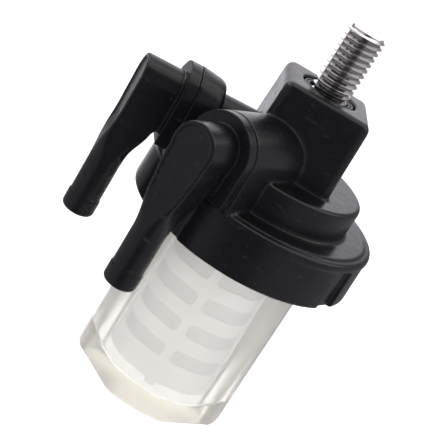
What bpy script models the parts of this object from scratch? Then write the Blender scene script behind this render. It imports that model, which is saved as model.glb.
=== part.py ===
"""Small outboard-engine fuel filter: a black moulded head with a stud on top and two hose elbows,
a clear screw-in bowl below it, and a white strainer element pushed on a spigot inside the bowl.
Metres, +Z up along the bowl's axis, origin at the centre of the bowl's flat underside."""

import math

import bmesh
import bpy
from mathutils import Matrix, Vector

MM = 0.001
GAP = 0.3 * MM  # clearance kept between pieces that touch

# Levels up the axis
SKIRT_BOTTOM = 38.5 * MM
RIM_LOW = 47.6 * MM
FLANGE_TOP = 49.35 * MM
PLINTH_TOP = 56.1 * MM
PORT_Z = 58.3 * MM
BLOCK_TOP = 72.85 * MM
STUD_TOP = 86.85 * MM

# Head outside
SKIRT_RADIUS = 24.75 * MM
SKIRT_RADIUS_TOP = 24.5 * MM
RIM_RADIUS = 24.75 * MM
RIM_ROUND = 0.9 * MM
LAND_RADIUS = 22.8 * MM  # the flange's raised land ends here in a small step
LAND_STEP = 0.3 * MM
PLINTH_RADIUS = 17.9 * MM
PLINTH_ROUND = 0.9 * MM
BLOCK_WIDTH = 18.5 * MM
DRAFT = 0.027  # mould taper of the block and of the port housings, width per height on each side
BLOCK_EDGE = 1.7 * MM
GROOVE_TURN = 52.5  # degrees; the skirt's four grooves are a quarter turn apart
GROOVE_ANGLE = 11.5
GROOVE_DEPTH = 1.0 * MM

# Head inside
CEILING = 47.3 * MM
CHAMBER_RADIUS = 14.6 * MM
CHAMBER_ROOF = 53.8 * MM
SPIGOT_RADIUS = 4.2 * MM
SPIGOT_BORE = 2.2 * MM
SPIGOT_TIP = 44.0 * MM
PASSAGE_RADIUS = 2.3 * MM

# Ports: direction of each port's axis, degrees from +X about +Z
OUTLET_ANGLE = -125.0
INLET_ANGLE = -170.0
PORT_FACE = 24.1 * MM  # distance of the housing's outer face from the filter's axis
PORT_HALF_WIDTH = 7.25 * MM
SOCKET_RADIUS = 4.5 * MM
SOCKET_DEPTH = 4.3 * MM
OUTLET_HOUSING_INNER = 2.0 * MM
INLET_HOUSING_INNER = 18.3 * MM
INLET_SECTIONS = ((0.0, 5.9), (0.5, 6.45), (1.5, 6.75), (5.8, 7.25))  # mm past that end, half-width
INLET_DROP = 11.5 * MM  # where the inlet passage turns down into the chamber
DROP_RADIUS = 2.0 * MM
WEB_HALF_WIDTH = 4.45 * MM
WEB_INNER = 5.0 * MM

# Elbows, measured along the port axis from the collar's inner face
COLLAR_HALF_WIDTH = 7.15 * MM
COLLAR_THICKNESS = 2.4 * MM
COLLAR_DROP = PORT_Z - FLANGE_TOP - GAP
ELBOW_FACE = 10.4 * MM
ELBOW_RADIUS = 4.75 * MM
NIPPLE_OFFSET = 7.75 * MM
NIPPLE_RADIUS = 3.2 * MM
NIPPLE_BORE = 2.0 * MM
NIPPLE_TIP = -30.75 * MM
FLARE_DEPTH = 1.5 * MM  # how far the nipple's root spreads towards the collar
FLARE_LEVELS = (-15.5 * MM, -7.5 * MM)
JOIN_LEVELS = (-8.5 * MM, -6.0 * MM)  # where the head closes up to the collar
TAPER_LEVELS = (-16.0 * MM, -3.0 * MM)  # from the nipple's width to the head's
CORNER_LEVELS = (-19.5 * MM, -10.0 * MM)  # from a round section to a flat face with small corners
ELBOW_CORNER = 0.7 * MM
ELBOW_WAIST = 0.25 * MM
TIP_EDGE = 0.9 * MM
TIP_RING_TOP = -27.1 * MM
TIP_RING_RADIUS = 3.4 * MM

# Stud, M8 coarse
STUD_RADIUS = 4.0 * MM
STUD_ROOT = 3.32 * MM
STUD_PITCH = 1.25 * MM
STUD_CHAMFER = 0.7 * MM
STUD_THREAD_LOW = 69.0 * MM
STUD_HEAD_LOW = 62.3 * MM
STUD_HEAD_HEIGHT = 5.3 * MM
STUD_HEAD_FLATS = 13.0 * MM
COUNTERBORE_RADIUS = 5.9 * MM
COUNTERBORE_DEPTH = 1.6 * MM
WASHER_THICKNESS = 1.0 * MM

# Bowl
BOWL_RADIUS = 17.45 * MM
BOWL_RADIUS_TOP = 17.05 * MM
BOWL_FLAT = 16.1 * MM  # distance of each of the four flats from the axis
BOWL_FLAT_TURN = 38.0  # degrees
BOWL_EDGE = 0.7 * MM
BOWL_INNER = 13.8 * MM
BOWL_INNER_LOW = 13.1 * MM
BOWL_INNER_ROUND = 1.6 * MM
BOWL_FLOOR = 3.4 * MM
SHOULDER_LOW = SKIRT_BOTTOM + 0.5 * MM
SHOULDER_RISE = 0.9 * MM
NECK_INNER = 15.2 * MM
NECK_ROOT = 19.4 * MM
NECK_CREST = 20.3 * MM
NECK_TOP = CEILING - 0.9 * MM
NECK_PITCH = 3.0 * MM
THREAD_LOW = SHOULDER_LOW + 1.1 * MM
THREAD_HIGH = NECK_TOP - 0.8 * MM
THREAD_RUNOUT = 0.7 * MM
SEAL_RADIUS = 17.3 * MM
SEAL_SECTION = 0.9 * MM
SEAL_GROOVE = 1.5 * MM

# Strainer element
CAGE_OUTER = 12.2 * MM
CAGE_INNER = 11.3 * MM
CAGE_LOW = 6.0 * MM
WINDOW_LOW = 11.6 * MM
WINDOW_HEIGHT = 3.0 * MM
WINDOW_SPACING = 6.45 * MM
WINDOW_ROWS = 5
TOP_RING = 2.8 * MM
RIB_COUNT = 6
RIB_TURN = -96.0  # degrees, direction of the first rib
RIB_ANGLE = 10.0
FLOOR_THICKNESS = 1.4 * MM
FOOT_COUNT = 3
FOOT_ANGLE = 11.0
FOOT_HEIGHT = 1.0 * MM
MESH_THICKNESS = 0.35 * MM
CAP_THICKNESS = 1.5 * MM
CAP_HUB_OUTER = 7.4 * MM
CAP_HUB_TOP = 50.7 * MM
ELEMENT_SEAL_Z = 48.2 * MM
ELEMENT_SEAL_SECTION = 0.8 * MM

ROUND = 56  # segments round a large piece
SMALL = 24  # segments round a small piece


def clear_scene():
    for item in list(bpy.data.objects):
        bpy.data.objects.remove(item, do_unlink=True)


def make_material(name, colour, roughness, metallic=0.0, alpha=1.0):
    material = bpy.data.materials.new(name)
    material.use_nodes = True
    shader = material.node_tree.nodes["Principled BSDF"]
    shader.inputs["Base Color"].default_value = (*colour, 1.0)
    shader.inputs["Roughness"].default_value = roughness
    shader.inputs["Metallic"].default_value = metallic
    shader.inputs["Alpha"].default_value = alpha
    return material


def black_plastic():
    return make_material("black_plastic", (0.022, 0.021, 0.024), 0.42)


def stainless():
    return make_material("stainless_steel", (0.62, 0.60, 0.58), 0.25, metallic=1.0)


def black_rubber():
    return make_material("black_rubber", (0.015, 0.015, 0.015), 0.55)


def clear_plastic():
    return make_material("clear_plastic", (0.93, 0.92, 0.84), 0.12, alpha=0.4)


def white_nylon():
    return make_material("white_nylon", (0.86, 0.85, 0.84), 0.5)


def strainer_mesh():
    return make_material("strainer_mesh", (0.72, 0.71, 0.70), 0.7)


def to_object(name, shape):
    """Give a bmesh outward faces, and turn it into an object in the scene."""
    bmesh.ops.remove_doubles(shape, verts=shape.verts, dist=1e-7)
    bmesh.ops.recalc_face_normals(shape, faces=shape.faces)
    mesh = bpy.data.meshes.new(name)
    shape.to_mesh(mesh)
    shape.free()
    item = bpy.data.objects.new(name, mesh)
    bpy.context.scene.collection.objects.link(item)
    return item


def arc(centre, radius, start, end, steps):
    """Points on an arc in a plane, angles in degrees."""
    points = []
    for step in range(steps + 1):
        angle = math.radians(start + (end - start) * step / steps)
        points.append((centre[0] + radius * math.cos(angle), centre[1] + radius * math.sin(angle)))
    return points


def turned(name, profile, segments=ROUND, loop=False):
    """A solid turned about Z from (radius, height) points. A loop makes a ring; without it the
    profile's ends lie on the axis."""
    shape = bmesh.new()
    rows = []
    for radius, height in profile:
        if radius < 1e-9:
            rows.append([shape.verts.new((0.0, 0.0, height))] * segments)
            continue
        row = []
        for index in range(segments):
            angle = 2 * math.pi * index / segments
            row.append(shape.verts.new((radius * math.cos(angle), radius * math.sin(angle), height)))
        rows.append(row)
    pairs = list(zip(rows, rows[1:]))
    if loop:
        pairs.append((rows[-1], rows[0]))
    for lower, upper in pairs:
        for index in range(segments):
            after = (index + 1) % segments
            corners = [lower[index], lower[after], upper[after], upper[index]]
            distinct = list(dict.fromkeys(corners))
            if len(distinct) > 2:
                shape.faces.new(distinct)
    return to_object(name, shape)


def extruded(name, outline, vector, frame=None):
    """A prism of a flat outline of 3-D points."""
    shape = bmesh.new()
    base = shape.faces.new([shape.verts.new(point) for point in outline])
    sides = bmesh.ops.extrude_face_region(shape, geom=[base])["geom"]
    moved = [item for item in sides if isinstance(item, bmesh.types.BMVert)]
    bmesh.ops.translate(shape, verts=moved, vec=vector)
    if frame is not None:
        bmesh.ops.transform(shape, matrix=frame, verts=shape.verts)
    return to_object(name, shape)


def cylinder(name, radius, start, end, segments=SMALL):
    """A plain cylinder between two points."""
    start = Vector(start)
    axis = Vector(end) - start
    shape = bmesh.new()
    bmesh.ops.create_cone(
        shape, cap_ends=True, segments=segments, radius1=radius, radius2=radius, depth=axis.length
    )
    place = Matrix.Translation(start + axis / 2) @ axis.to_track_quat("Z", "Y").to_matrix().to_4x4()
    bmesh.ops.transform(shape, matrix=place, verts=shape.verts)
    return to_object(name, shape)


def combine(body, tool, operation):
    """Join, cut or intersect a body with a tool, and drop the tool."""
    modifier = body.modifiers.new("combine", "BOOLEAN")
    modifier.operation = operation
    modifier.solver = "EXACT"
    modifier.object = tool
    bpy.context.view_layer.update()
    evaluated = body.evaluated_get(bpy.context.evaluated_depsgraph_get())
    mesh = bpy.data.meshes.new_from_object(evaluated)
    body.modifiers.clear()
    body.data = mesh
    bpy.data.objects.remove(tool, do_unlink=True)
    return body


def finish(item, material, crease=35.0):
    """Merge stray points, shade smooth, and give the piece its one material."""
    shape = bmesh.new()
    shape.from_mesh(item.data)
    bmesh.ops.remove_doubles(shape, verts=shape.verts, dist=2e-6)
    bmesh.ops.dissolve_degenerate(shape, edges=shape.edges, dist=1e-6)
    bmesh.ops.triangulate(shape, faces=[face for face in shape.faces if len(face.verts) > 4])
    shape.to_mesh(item.data)
    shape.free()
    item.data.materials.clear()
    item.data.materials.append(material)
    item.data.shade_smooth()
    item.data.set_sharp_from_angle(angle=math.radians(crease))
    return item


def threaded_rod(name, root, crest, crest_half, root_half, pitch, low, high, steps):
    """A right-hand screw thread with a flat root and crest. Its crest passes z = 0 at +X, and it
    runs a full turn past both levels, ready to be trimmed."""
    first = math.floor(low / pitch) - 1
    last = math.ceil(high / pitch) + 1
    across = [(-crest_half, crest), (crest_half, crest), (root_half, root), (pitch - root_half, root)]
    shape = bmesh.new()
    columns = []
    for step in range(steps):
        angle = 2 * math.pi * step / steps
        column = []
        for turn in range(first, last + 1):
            for rise, radius in across:
                height = (turn + step / steps) * pitch + rise
                point = (radius * math.cos(angle), radius * math.sin(angle), height)
                column.append(shape.verts.new(point))
        columns.append(column)
    count = len(columns[0])
    for step in range(steps - 1):
        for row in range(count - 1):
            here = columns[step]
            there = columns[step + 1]
            shape.faces.new([here[row], there[row], there[row + 1], here[row + 1]])
    seam = columns[-1]
    start = columns[0]
    per_turn = len(across)
    for row in range(count - 1 - per_turn):
        shape.faces.new([seam[row], start[row + per_turn], start[row + per_turn + 1], seam[row + 1]])
    bottom = [column[0] for column in columns] + start[per_turn:0:-1]
    top = [column[-1] for column in columns[::-1]] + seam[count - 1 - per_turn:count - 1]
    for edge_loop, height in ((bottom, first * pitch), (top, last * pitch + pitch)):
        centre = shape.verts.new((0.0, 0.0, height))
        for index, vertex in enumerate(edge_loop):
            after = edge_loop[(index + 1) % len(edge_loop)]
            shape.faces.new([centre, vertex, after])
    return to_object(name, shape)


def port_frame(angle):
    """Frame of a port: +X out along its axis, origin on the filter's axis."""
    return Matrix.Translation((0.0, 0.0, PORT_Z)) @ Matrix.Rotation(math.radians(angle), 4, "Z")


def arch_outline(x, half_width, drop, steps=16, spread=0.0):
    """A half-round top on straight sides, in the plane at x of a port frame."""
    points = [(x, y, z) for y, z in arc((0.0, 0.0), half_width, 0.0, 180.0, steps)]
    foot = half_width + spread * drop
    return points + [(x, -foot, -drop), (x, foot, -drop)]


def lofted(name, outlines, frame):
    """A solid through a row of outlines that have the same number of points."""
    shape = bmesh.new()
    rows = [[shape.verts.new(frame @ Vector(point)) for point in outline] for outline in outlines]
    for lower, upper in zip(rows, rows[1:]):
        for index in range(len(lower)):
            after = (index + 1) % len(lower)
            shape.faces.new([lower[index], lower[after], upper[after], upper[index]])
    shape.faces.new(rows[0][::-1])
    shape.faces.new(rows[-1])
    return to_object(name, shape)


def rounded_box(name, low, high, edge, steps, vertical=True):
    """A box with its top edges, and its upright edges if wanted, rounded."""
    shape = bmesh.new()
    bmesh.ops.create_cube(shape, size=1.0)
    size = Vector(high) - Vector(low)
    middle = (Vector(high) + Vector(low)) / 2
    bmesh.ops.transform(
        shape, matrix=Matrix.Translation(middle) @ Matrix.Diagonal((*size, 1.0)), verts=shape.verts
    )
    top = high[2] - 1e-6
    edges = []
    for item in shape.edges:
        heights = [vertex.co.z for vertex in item.verts]
        upright = abs(heights[0] - heights[1]) > 1e-6
        if min(heights) > top or (upright and vertical):
            edges.append(item)
    bmesh.ops.bevel(
        shape, geom=edges, offset=edge, segments=steps, profile=0.5, affect="EDGES", clamp_overlap=True
    )
    return to_object(name, shape)


def sector(name, inner, outer, middle, angle, low, high, steps=3):
    """An upright piece of a ring wall, angles in degrees."""
    start = middle - angle / 2
    end = middle + angle / 2
    outline = arc((0.0, 0.0), inner, start, end, steps) + arc((0.0, 0.0), outer, end, start, steps)
    return extruded(name, [(x, y, low) for x, y in outline], (0.0, 0.0, high - low))


def hexagon(name, flats, low, high):
    """A hexagonal prism with a corner on X."""
    corner = flats / math.sqrt(3)
    outline = [(x, y, low) for x, y in arc((0.0, 0.0), corner, 0.0, 300.0, 5)]
    return extruded(name, outline, (0.0, 0.0, high - low))


def head_body():
    """Skirt, rim, flange and plinth turned in one profile."""
    profile = [(0.0, SKIRT_BOTTOM), (SKIRT_RADIUS - 0.4 * MM, SKIRT_BOTTOM)]
    profile += [(SKIRT_RADIUS, SKIRT_BOTTOM + 0.4 * MM), (SKIRT_RADIUS_TOP, RIM_LOW - 0.2 * MM)]
    profile += [(RIM_RADIUS, RIM_LOW)]
    rim_top = (RIM_RADIUS - RIM_ROUND, FLANGE_TOP - LAND_STEP - RIM_ROUND)
    profile += arc(rim_top, RIM_ROUND, 0.0, 90.0, 3)
    profile += [(LAND_RADIUS + 0.1 * MM, FLANGE_TOP - 0.8 * LAND_STEP), (LAND_RADIUS, FLANGE_TOP)]
    profile += [(PLINTH_RADIUS + 0.5 * MM, FLANGE_TOP), (PLINTH_RADIUS, FLANGE_TOP + 0.5 * MM)]
    plinth_top = (PLINTH_RADIUS - PLINTH_ROUND, PLINTH_TOP - PLINTH_ROUND)
    profile += arc(plinth_top, PLINTH_ROUND, 0.0, 90.0, 3)
    profile += [(0.0, PLINTH_TOP)]
    return turned("filter_head", profile)


def head_cavity():
    """The threaded mouth for the bowl's neck."""
    clear = GAP
    rod = threaded_rod(
        "cavity", NECK_ROOT + clear, NECK_CREST + clear, 0.511 * MM, 1.111 * MM, NECK_PITCH,
        SKIRT_BOTTOM, CEILING, 40,
    )
    mouth = NECK_CREST + 0.8 * MM
    crest = NECK_CREST + clear + 0.02 * MM
    envelope = [(0.0, SKIRT_BOTTOM - 1.0 * MM), (mouth, SKIRT_BOTTOM - 1.0 * MM)]
    envelope += [(mouth, SKIRT_BOTTOM + 0.6 * MM), (crest, SKIRT_BOTTOM + 1.1 * MM)]
    envelope += [(crest, CEILING - 0.8 * MM), (NECK_ROOT + clear, CEILING)]
    envelope += [(0.0, CEILING)]
    return combine(rod, turned("envelope", envelope, 40), "INTERSECT")


def port_housings(head):
    """The outlet's long housing, the inlet's short one, and the web from that to the block."""
    depth = PORT_Z - FLANGE_TOP + 0.6 * MM
    frame = port_frame(OUTLET_ANGLE)
    ends = [(OUTLET_HOUSING_INNER, PORT_HALF_WIDTH), (PORT_FACE, PORT_HALF_WIDTH)]
    outlines = [arch_outline(x, half_width, depth, spread=DRAFT) for x, half_width in ends]
    combine(head, lofted("outlet", outlines, frame), "UNION")
    frame = port_frame(INLET_ANGLE)
    outlines = []
    for past, half_width in INLET_SECTIONS:
        x = INLET_HOUSING_INNER + past * MM
        outlines.append(arch_outline(x, half_width * MM, depth, spread=DRAFT))
    combine(head, lofted("inlet", outlines, frame), "UNION")
    depth = PORT_Z - PLINTH_TOP + 1.0 * MM
    ends = (WEB_INNER, INLET_HOUSING_INNER + 0.6 * MM)
    outlines = [arch_outline(x, WEB_HALF_WIDTH, depth, 12, DRAFT) for x in ends]
    combine(head, lofted("web", outlines, frame), "UNION")


def drafted_block():
    """The square block under the stud, wider towards its base."""
    half = BLOCK_WIDTH / 2
    low = (-half, -half, PLINTH_TOP - 2.0 * MM)
    block = rounded_box("block", low, (half, half, BLOCK_TOP), BLOCK_EDGE, 3)
    for vertex in block.data.vertices:
        scale = 1.0 + DRAFT * (BLOCK_TOP - vertex.co.z) / half
        vertex.co.x *= scale
        vertex.co.y *= scale
    return block


def skirt_grooves(head):
    for quarter in range(4):
        groove = sector(
            "groove", SKIRT_RADIUS - GROOVE_DEPTH, RIM_RADIUS + 1.0 * MM, GROOVE_TURN + 90.0 * quarter,
            GROOVE_ANGLE, SKIRT_BOTTOM - 1.0 * MM, RIM_LOW - 0.3 * MM,
        )
        combine(head, groove, "DIFFERENCE")


def head_passages(head):
    """Chamber with its spigot, and the two ports' passages with the sockets for the elbows."""
    chamber = cylinder("chamber", CHAMBER_RADIUS, (0, 0, CEILING - 3.0 * MM), (0, 0, CHAMBER_ROOF), 48)
    combine(head, chamber, "DIFFERENCE")
    spigot = cylinder("spigot", SPIGOT_RADIUS, (0, 0, SPIGOT_TIP), (0, 0, CHAMBER_ROOF + 1.0 * MM))
    combine(head, spigot, "UNION")
    bore = cylinder("bore", SPIGOT_BORE, (0, 0, SPIGOT_TIP - 2.0 * MM), (0, 0, PORT_Z))
    combine(head, bore, "DIFFERENCE")
    for angle, inner in ((OUTLET_ANGLE, 0.0), (INLET_ANGLE, INLET_DROP)):
        frame = port_frame(angle)
        ends = [frame @ Vector((x, 0.0, 0.0)) for x in (inner - SPIGOT_BORE, PORT_FACE + 1.0 * MM)]
        combine(head, cylinder("passage", PASSAGE_RADIUS, ends[0], ends[1]), "DIFFERENCE")
        socket = frame @ Vector((PORT_FACE - SOCKET_DEPTH, 0.0, 0.0))
        combine(head, cylinder("socket", SOCKET_RADIUS, socket, ends[1]), "DIFFERENCE")
    drop_top = port_frame(INLET_ANGLE) @ Vector((INLET_DROP, 0.0, 0.0))
    drop_low = drop_top - Vector((0.0, 0.0, PORT_Z - CHAMBER_ROOF + 1.0 * MM))
    combine(head, cylinder("drop", DROP_RADIUS, drop_low, drop_top), "DIFFERENCE")


def stud_pocket(head):
    """Room for the stud's hexagonal head and shank, and the counterbore at the top."""
    pocket_top = STUD_HEAD_LOW + STUD_HEAD_HEIGHT + GAP
    pocket = hexagon("pocket", STUD_HEAD_FLATS + 2 * GAP, STUD_HEAD_LOW - GAP, pocket_top)
    combine(head, pocket, "DIFFERENCE")
    above = (0, 0, BLOCK_TOP + 1.0 * MM)
    combine(head, cylinder("shank", STUD_RADIUS + GAP, (0, 0, STUD_HEAD_LOW), above), "DIFFERENCE")
    low = (0, 0, BLOCK_TOP - COUNTERBORE_DEPTH)
    combine(head, cylinder("counterbore", COUNTERBORE_RADIUS, low, above, 32), "DIFFERENCE")


def filter_head(material):
    head = head_body()
    combine(head, drafted_block(), "UNION")
    port_housings(head)
    skirt_grooves(head)
    combine(head, head_cavity(), "DIFFERENCE")
    head_passages(head)
    stud_pocket(head)
    return finish(head, material)


def mounting_stud(material):
    """M8 stud with a hexagonal head moulded into the block."""
    stud = threaded_rod(
        "mounting_stud", STUD_ROOT, STUD_RADIUS, 0.08 * MM, 0.47 * MM, STUD_PITCH,
        STUD_THREAD_LOW, STUD_TOP, 18,
    )
    head_top = STUD_HEAD_LOW + STUD_HEAD_HEIGHT
    outside = STUD_RADIUS + 0.05 * MM
    envelope = [(0.0, STUD_THREAD_LOW), (outside, STUD_THREAD_LOW)]
    envelope += [(outside, STUD_TOP - STUD_CHAMFER), (STUD_ROOT - 0.1 * MM, STUD_TOP)]
    envelope += [(0.0, STUD_TOP)]
    combine(stud, turned("envelope", envelope, 36), "INTERSECT")
    combine(stud, hexagon("hex", STUD_HEAD_FLATS, STUD_HEAD_LOW, head_top), "UNION")
    shank = cylinder(
        "shank", STUD_RADIUS + 0.03 * MM, (0, 0, head_top - 0.5 * MM), (0, 0, STUD_THREAD_LOW + 0.3 * MM), 36
    )
    combine(stud, shank, "UNION")
    return finish(stud, material)


def stud_washer(material):
    """Rubber sealing ring lying in the counterbore round the stud."""
    low = BLOCK_TOP - COUNTERBORE_DEPTH + GAP
    high = low + WASHER_THICKNESS
    edge = 0.25 * MM
    inner = STUD_RADIUS + GAP
    outer = COUNTERBORE_RADIUS - GAP
    profile = [(inner, low), (outer, low), (outer, high - edge), (outer - edge, high)]
    profile += [(inner + edge, high), (inner, high - edge)]
    return finish(turned("stud_washer", profile, 32, loop=True), material)


def blend(value, low, high):
    """A smooth step from 0 at low to 1 at high."""
    share = min(1.0, max(0.0, (value - low) / (high - low)))
    return share * share * (3.0 - 2.0 * share)


def elbow_section(height):
    """Inner and outer face, half-width and corner radius of the elbow's section at a height below
    or above the port axis."""
    flare = blend(height, *FLARE_LEVELS)
    nipple_face = NIPPLE_OFFSET + NIPPLE_RADIUS
    outer = nipple_face + (ELBOW_FACE - nipple_face) * flare
    inner = NIPPLE_OFFSET - NIPPLE_RADIUS - FLARE_DEPTH * flare
    inner -= (inner - COLLAR_THICKNESS + 0.5 * MM) * blend(height, *JOIN_LEVELS)
    head_width = ELBOW_RADIUS - ELBOW_WAIST
    width = NIPPLE_RADIUS + (head_width - NIPPLE_RADIUS) * blend(height, *TAPER_LEVELS)
    if height > TAPER_LEVELS[1]:
        width = ELBOW_RADIUS - ELBOW_WAIST * blend(-height, 0.0, -TAPER_LEVELS[1])
    if height > 0.0:
        width = math.sqrt(max(ELBOW_RADIUS ** 2 - height ** 2, (0.2 * MM) ** 2))
    corner = NIPPLE_RADIUS - (NIPPLE_RADIUS - ELBOW_CORNER) * blend(height, *CORNER_LEVELS)
    return inner, outer, width, min(corner, 0.98 * width)


def elbow_shell(name):
    """Horizontal head and tapering nipple, lofted from level sections."""
    levels = [NIPPLE_TIP + 1.0 * MM] + [height * MM for height in (-20, -16, -13, -10.5, -8.5, -7, -4, 0)]
    levels += [ELBOW_RADIUS * math.sin(math.radians(angle)) for angle in (20, 38, 54, 67, 78, 86, 90)]
    corner_steps = 5
    shape = bmesh.new()
    rings = []
    for height in levels:
        inner, outer, width, corner = elbow_section(height)
        ring = []
        for sign_x, sign_y, start in ((1, 1, 0.0), (-1, 1, 90.0), (-1, -1, 180.0), (1, -1, 270.0)):
            x_edge = outer if sign_x > 0 else inner
            centre = (x_edge - sign_x * corner, sign_y * (width - corner))
            for x, y in arc(centre, corner, start, start + 90.0, corner_steps):
                ring.append(shape.verts.new((x, y, height)))
        rings.append(ring)
    for lower, upper in zip(rings, rings[1:]):
        for index in range(len(lower)):
            after = (index + 1) % len(lower)
            shape.faces.new([lower[index], lower[after], upper[after], upper[index]])
    shape.faces.new(rings[0][::-1])
    shape.faces.new(rings[-1])
    return to_object(name, shape)


def hose_elbow(name, angle, material):
    """Hose elbow in its port's frame, its origin at the middle of the joint face."""
    elbow = elbow_shell(name)
    collar = extruded(
        "collar", arch_outline(0.0, COLLAR_HALF_WIDTH, COLLAR_DROP), (COLLAR_THICKNESS, 0.0, 0.0)
    )
    combine(elbow, collar, "UNION")
    tip = [(0.0, NIPPLE_TIP), (TIP_RING_RADIUS - TIP_EDGE, NIPPLE_TIP)]
    tip += [(TIP_RING_RADIUS - 0.15 * MM, NIPPLE_TIP + TIP_EDGE)]
    tip += [(TIP_RING_RADIUS, NIPPLE_TIP + 2 * TIP_EDGE)]
    tip += [(TIP_RING_RADIUS, TIP_RING_TOP), (NIPPLE_RADIUS - 0.2 * MM, TIP_RING_TOP), (0.0, TIP_RING_TOP)]
    ring = turned("tip", tip, SMALL)
    ring.location = (NIPPLE_OFFSET, 0.0, 0.0)
    combine(elbow, ring, "UNION")
    plug = cylinder("plug", SOCKET_RADIUS - GAP, (GAP - SOCKET_DEPTH, 0, 0), (1.0 * MM, 0, 0))
    combine(elbow, plug, "UNION")
    bore_end = (NIPPLE_OFFSET + NIPPLE_BORE, 0, 0)
    combine(elbow, cylinder("bore", PASSAGE_RADIUS, (-SOCKET_DEPTH - 1.0 * MM, 0, 0), bore_end), "DIFFERENCE")
    drop = cylinder("bore", NIPPLE_BORE, (NIPPLE_OFFSET, 0, NIPPLE_TIP - 1.0 * MM), (NIPPLE_OFFSET, 0, 0))
    combine(elbow, drop, "DIFFERENCE")
    elbow.matrix_world = port_frame(angle) @ Matrix.Translation((PORT_FACE + GAP, 0.0, 0.0))
    return finish(elbow, material)


def bowl_neck():
    """Threaded neck and shoulder above the bowl's wall."""
    rod = threaded_rod(
        "bowl", NECK_ROOT, NECK_CREST, 0.35 * MM, 0.95 * MM, NECK_PITCH, SHOULDER_LOW, NECK_TOP, 40
    )
    crest = NECK_CREST + 0.02 * MM
    plain = NECK_ROOT - 0.1 * MM
    profile = [(0.0, SHOULDER_LOW), (BOWL_RADIUS_TOP - 0.4 * MM, SHOULDER_LOW)]
    profile += [(plain, SHOULDER_LOW + SHOULDER_RISE), (plain, THREAD_LOW)]
    profile += [(crest, THREAD_LOW + THREAD_RUNOUT), (crest, THREAD_HIGH - THREAD_RUNOUT)]
    profile += [(plain, THREAD_HIGH), (plain, NECK_TOP), (0.0, NECK_TOP)]
    return combine(rod, turned("envelope", profile, 40), "INTERSECT")


def bowl(material):
    """Clear sediment bowl: round wall with four flats, flat floor and threaded neck."""
    cup = bowl_neck()
    wall_profile = [(0.0, 0.0), (BOWL_RADIUS - BOWL_EDGE, 0.0), (BOWL_RADIUS, BOWL_EDGE)]
    wall_profile += [(BOWL_RADIUS_TOP, SHOULDER_LOW + 0.4 * MM), (0.0, SHOULDER_LOW + 0.4 * MM)]
    wall = turned("wall", wall_profile)
    flats = rounded_box(
        "flats", (-BOWL_FLAT, -BOWL_FLAT, -SHOULDER_LOW - 1.0 * MM), (BOWL_FLAT, BOWL_FLAT, 0.0),
        BOWL_EDGE, 2, vertical=False,
    )
    upside_down = Matrix.Rotation(math.pi, 4, "X")
    flats.matrix_world = Matrix.Rotation(math.radians(BOWL_FLAT_TURN), 4, "Z") @ upside_down
    combine(wall, flats, "INTERSECT")
    combine(cup, wall, "UNION")
    hollow = [(0.0, BOWL_FLOOR)]
    corner = (BOWL_INNER_LOW - BOWL_INNER_ROUND, BOWL_FLOOR + BOWL_INNER_ROUND)
    hollow += arc(corner, BOWL_INNER_ROUND, -90.0, 0.0, 3)
    hollow += [(BOWL_INNER, SHOULDER_LOW - 2.0 * MM), (NECK_INNER, SHOULDER_LOW + 0.5 * MM)]
    hollow += [(NECK_INNER, NECK_TOP + 1.0 * MM)]
    hollow += [(0.0, NECK_TOP + 1.0 * MM)]
    combine(cup, turned("hollow", hollow, 48), "DIFFERENCE")
    half = SEAL_SECTION + GAP
    low = NECK_TOP - SEAL_GROOVE
    groove = [(SEAL_RADIUS - half, low), (SEAL_RADIUS + half, low)]
    groove += [(SEAL_RADIUS + half, NECK_TOP + 1.0 * MM), (SEAL_RADIUS - half, NECK_TOP + 1.0 * MM)]
    combine(cup, turned("groove", groove, 48, loop=True), "DIFFERENCE")
    return finish(cup, material)


def o_ring(name, radius, section, height, material, segments):
    profile = arc((radius, height), section, 0.0, 315.0, 7)
    return finish(turned(name, profile, segments, loop=True), material, crease=80.0)


def cage_top():
    return WINDOW_LOW + (WINDOW_ROWS - 1) * WINDOW_SPACING + WINDOW_HEIGHT + TOP_RING


def cage_cells():
    """Edges of the cage's grid: angles with ribs and windows in turn, and levels with solid rings and
    windows in turn."""
    angles = []
    period = 360.0 / RIB_COUNT
    window = period - RIB_ANGLE
    for rib in range(RIB_COUNT):
        start = RIB_TURN + rib * period - RIB_ANGLE / 2
        angles += [(start, True), (start + RIB_ANGLE / 2, True)]
        angles += [(start + RIB_ANGLE + window * step / 4, False) for step in range(4)]
    levels = [(CAGE_LOW, True)]
    for row in range(WINDOW_ROWS):
        low = WINDOW_LOW + row * WINDOW_SPACING
        levels += [(low, False), (low + WINDOW_HEIGHT, True)]
    levels.append((cage_top(), False))
    return angles, levels


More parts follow.
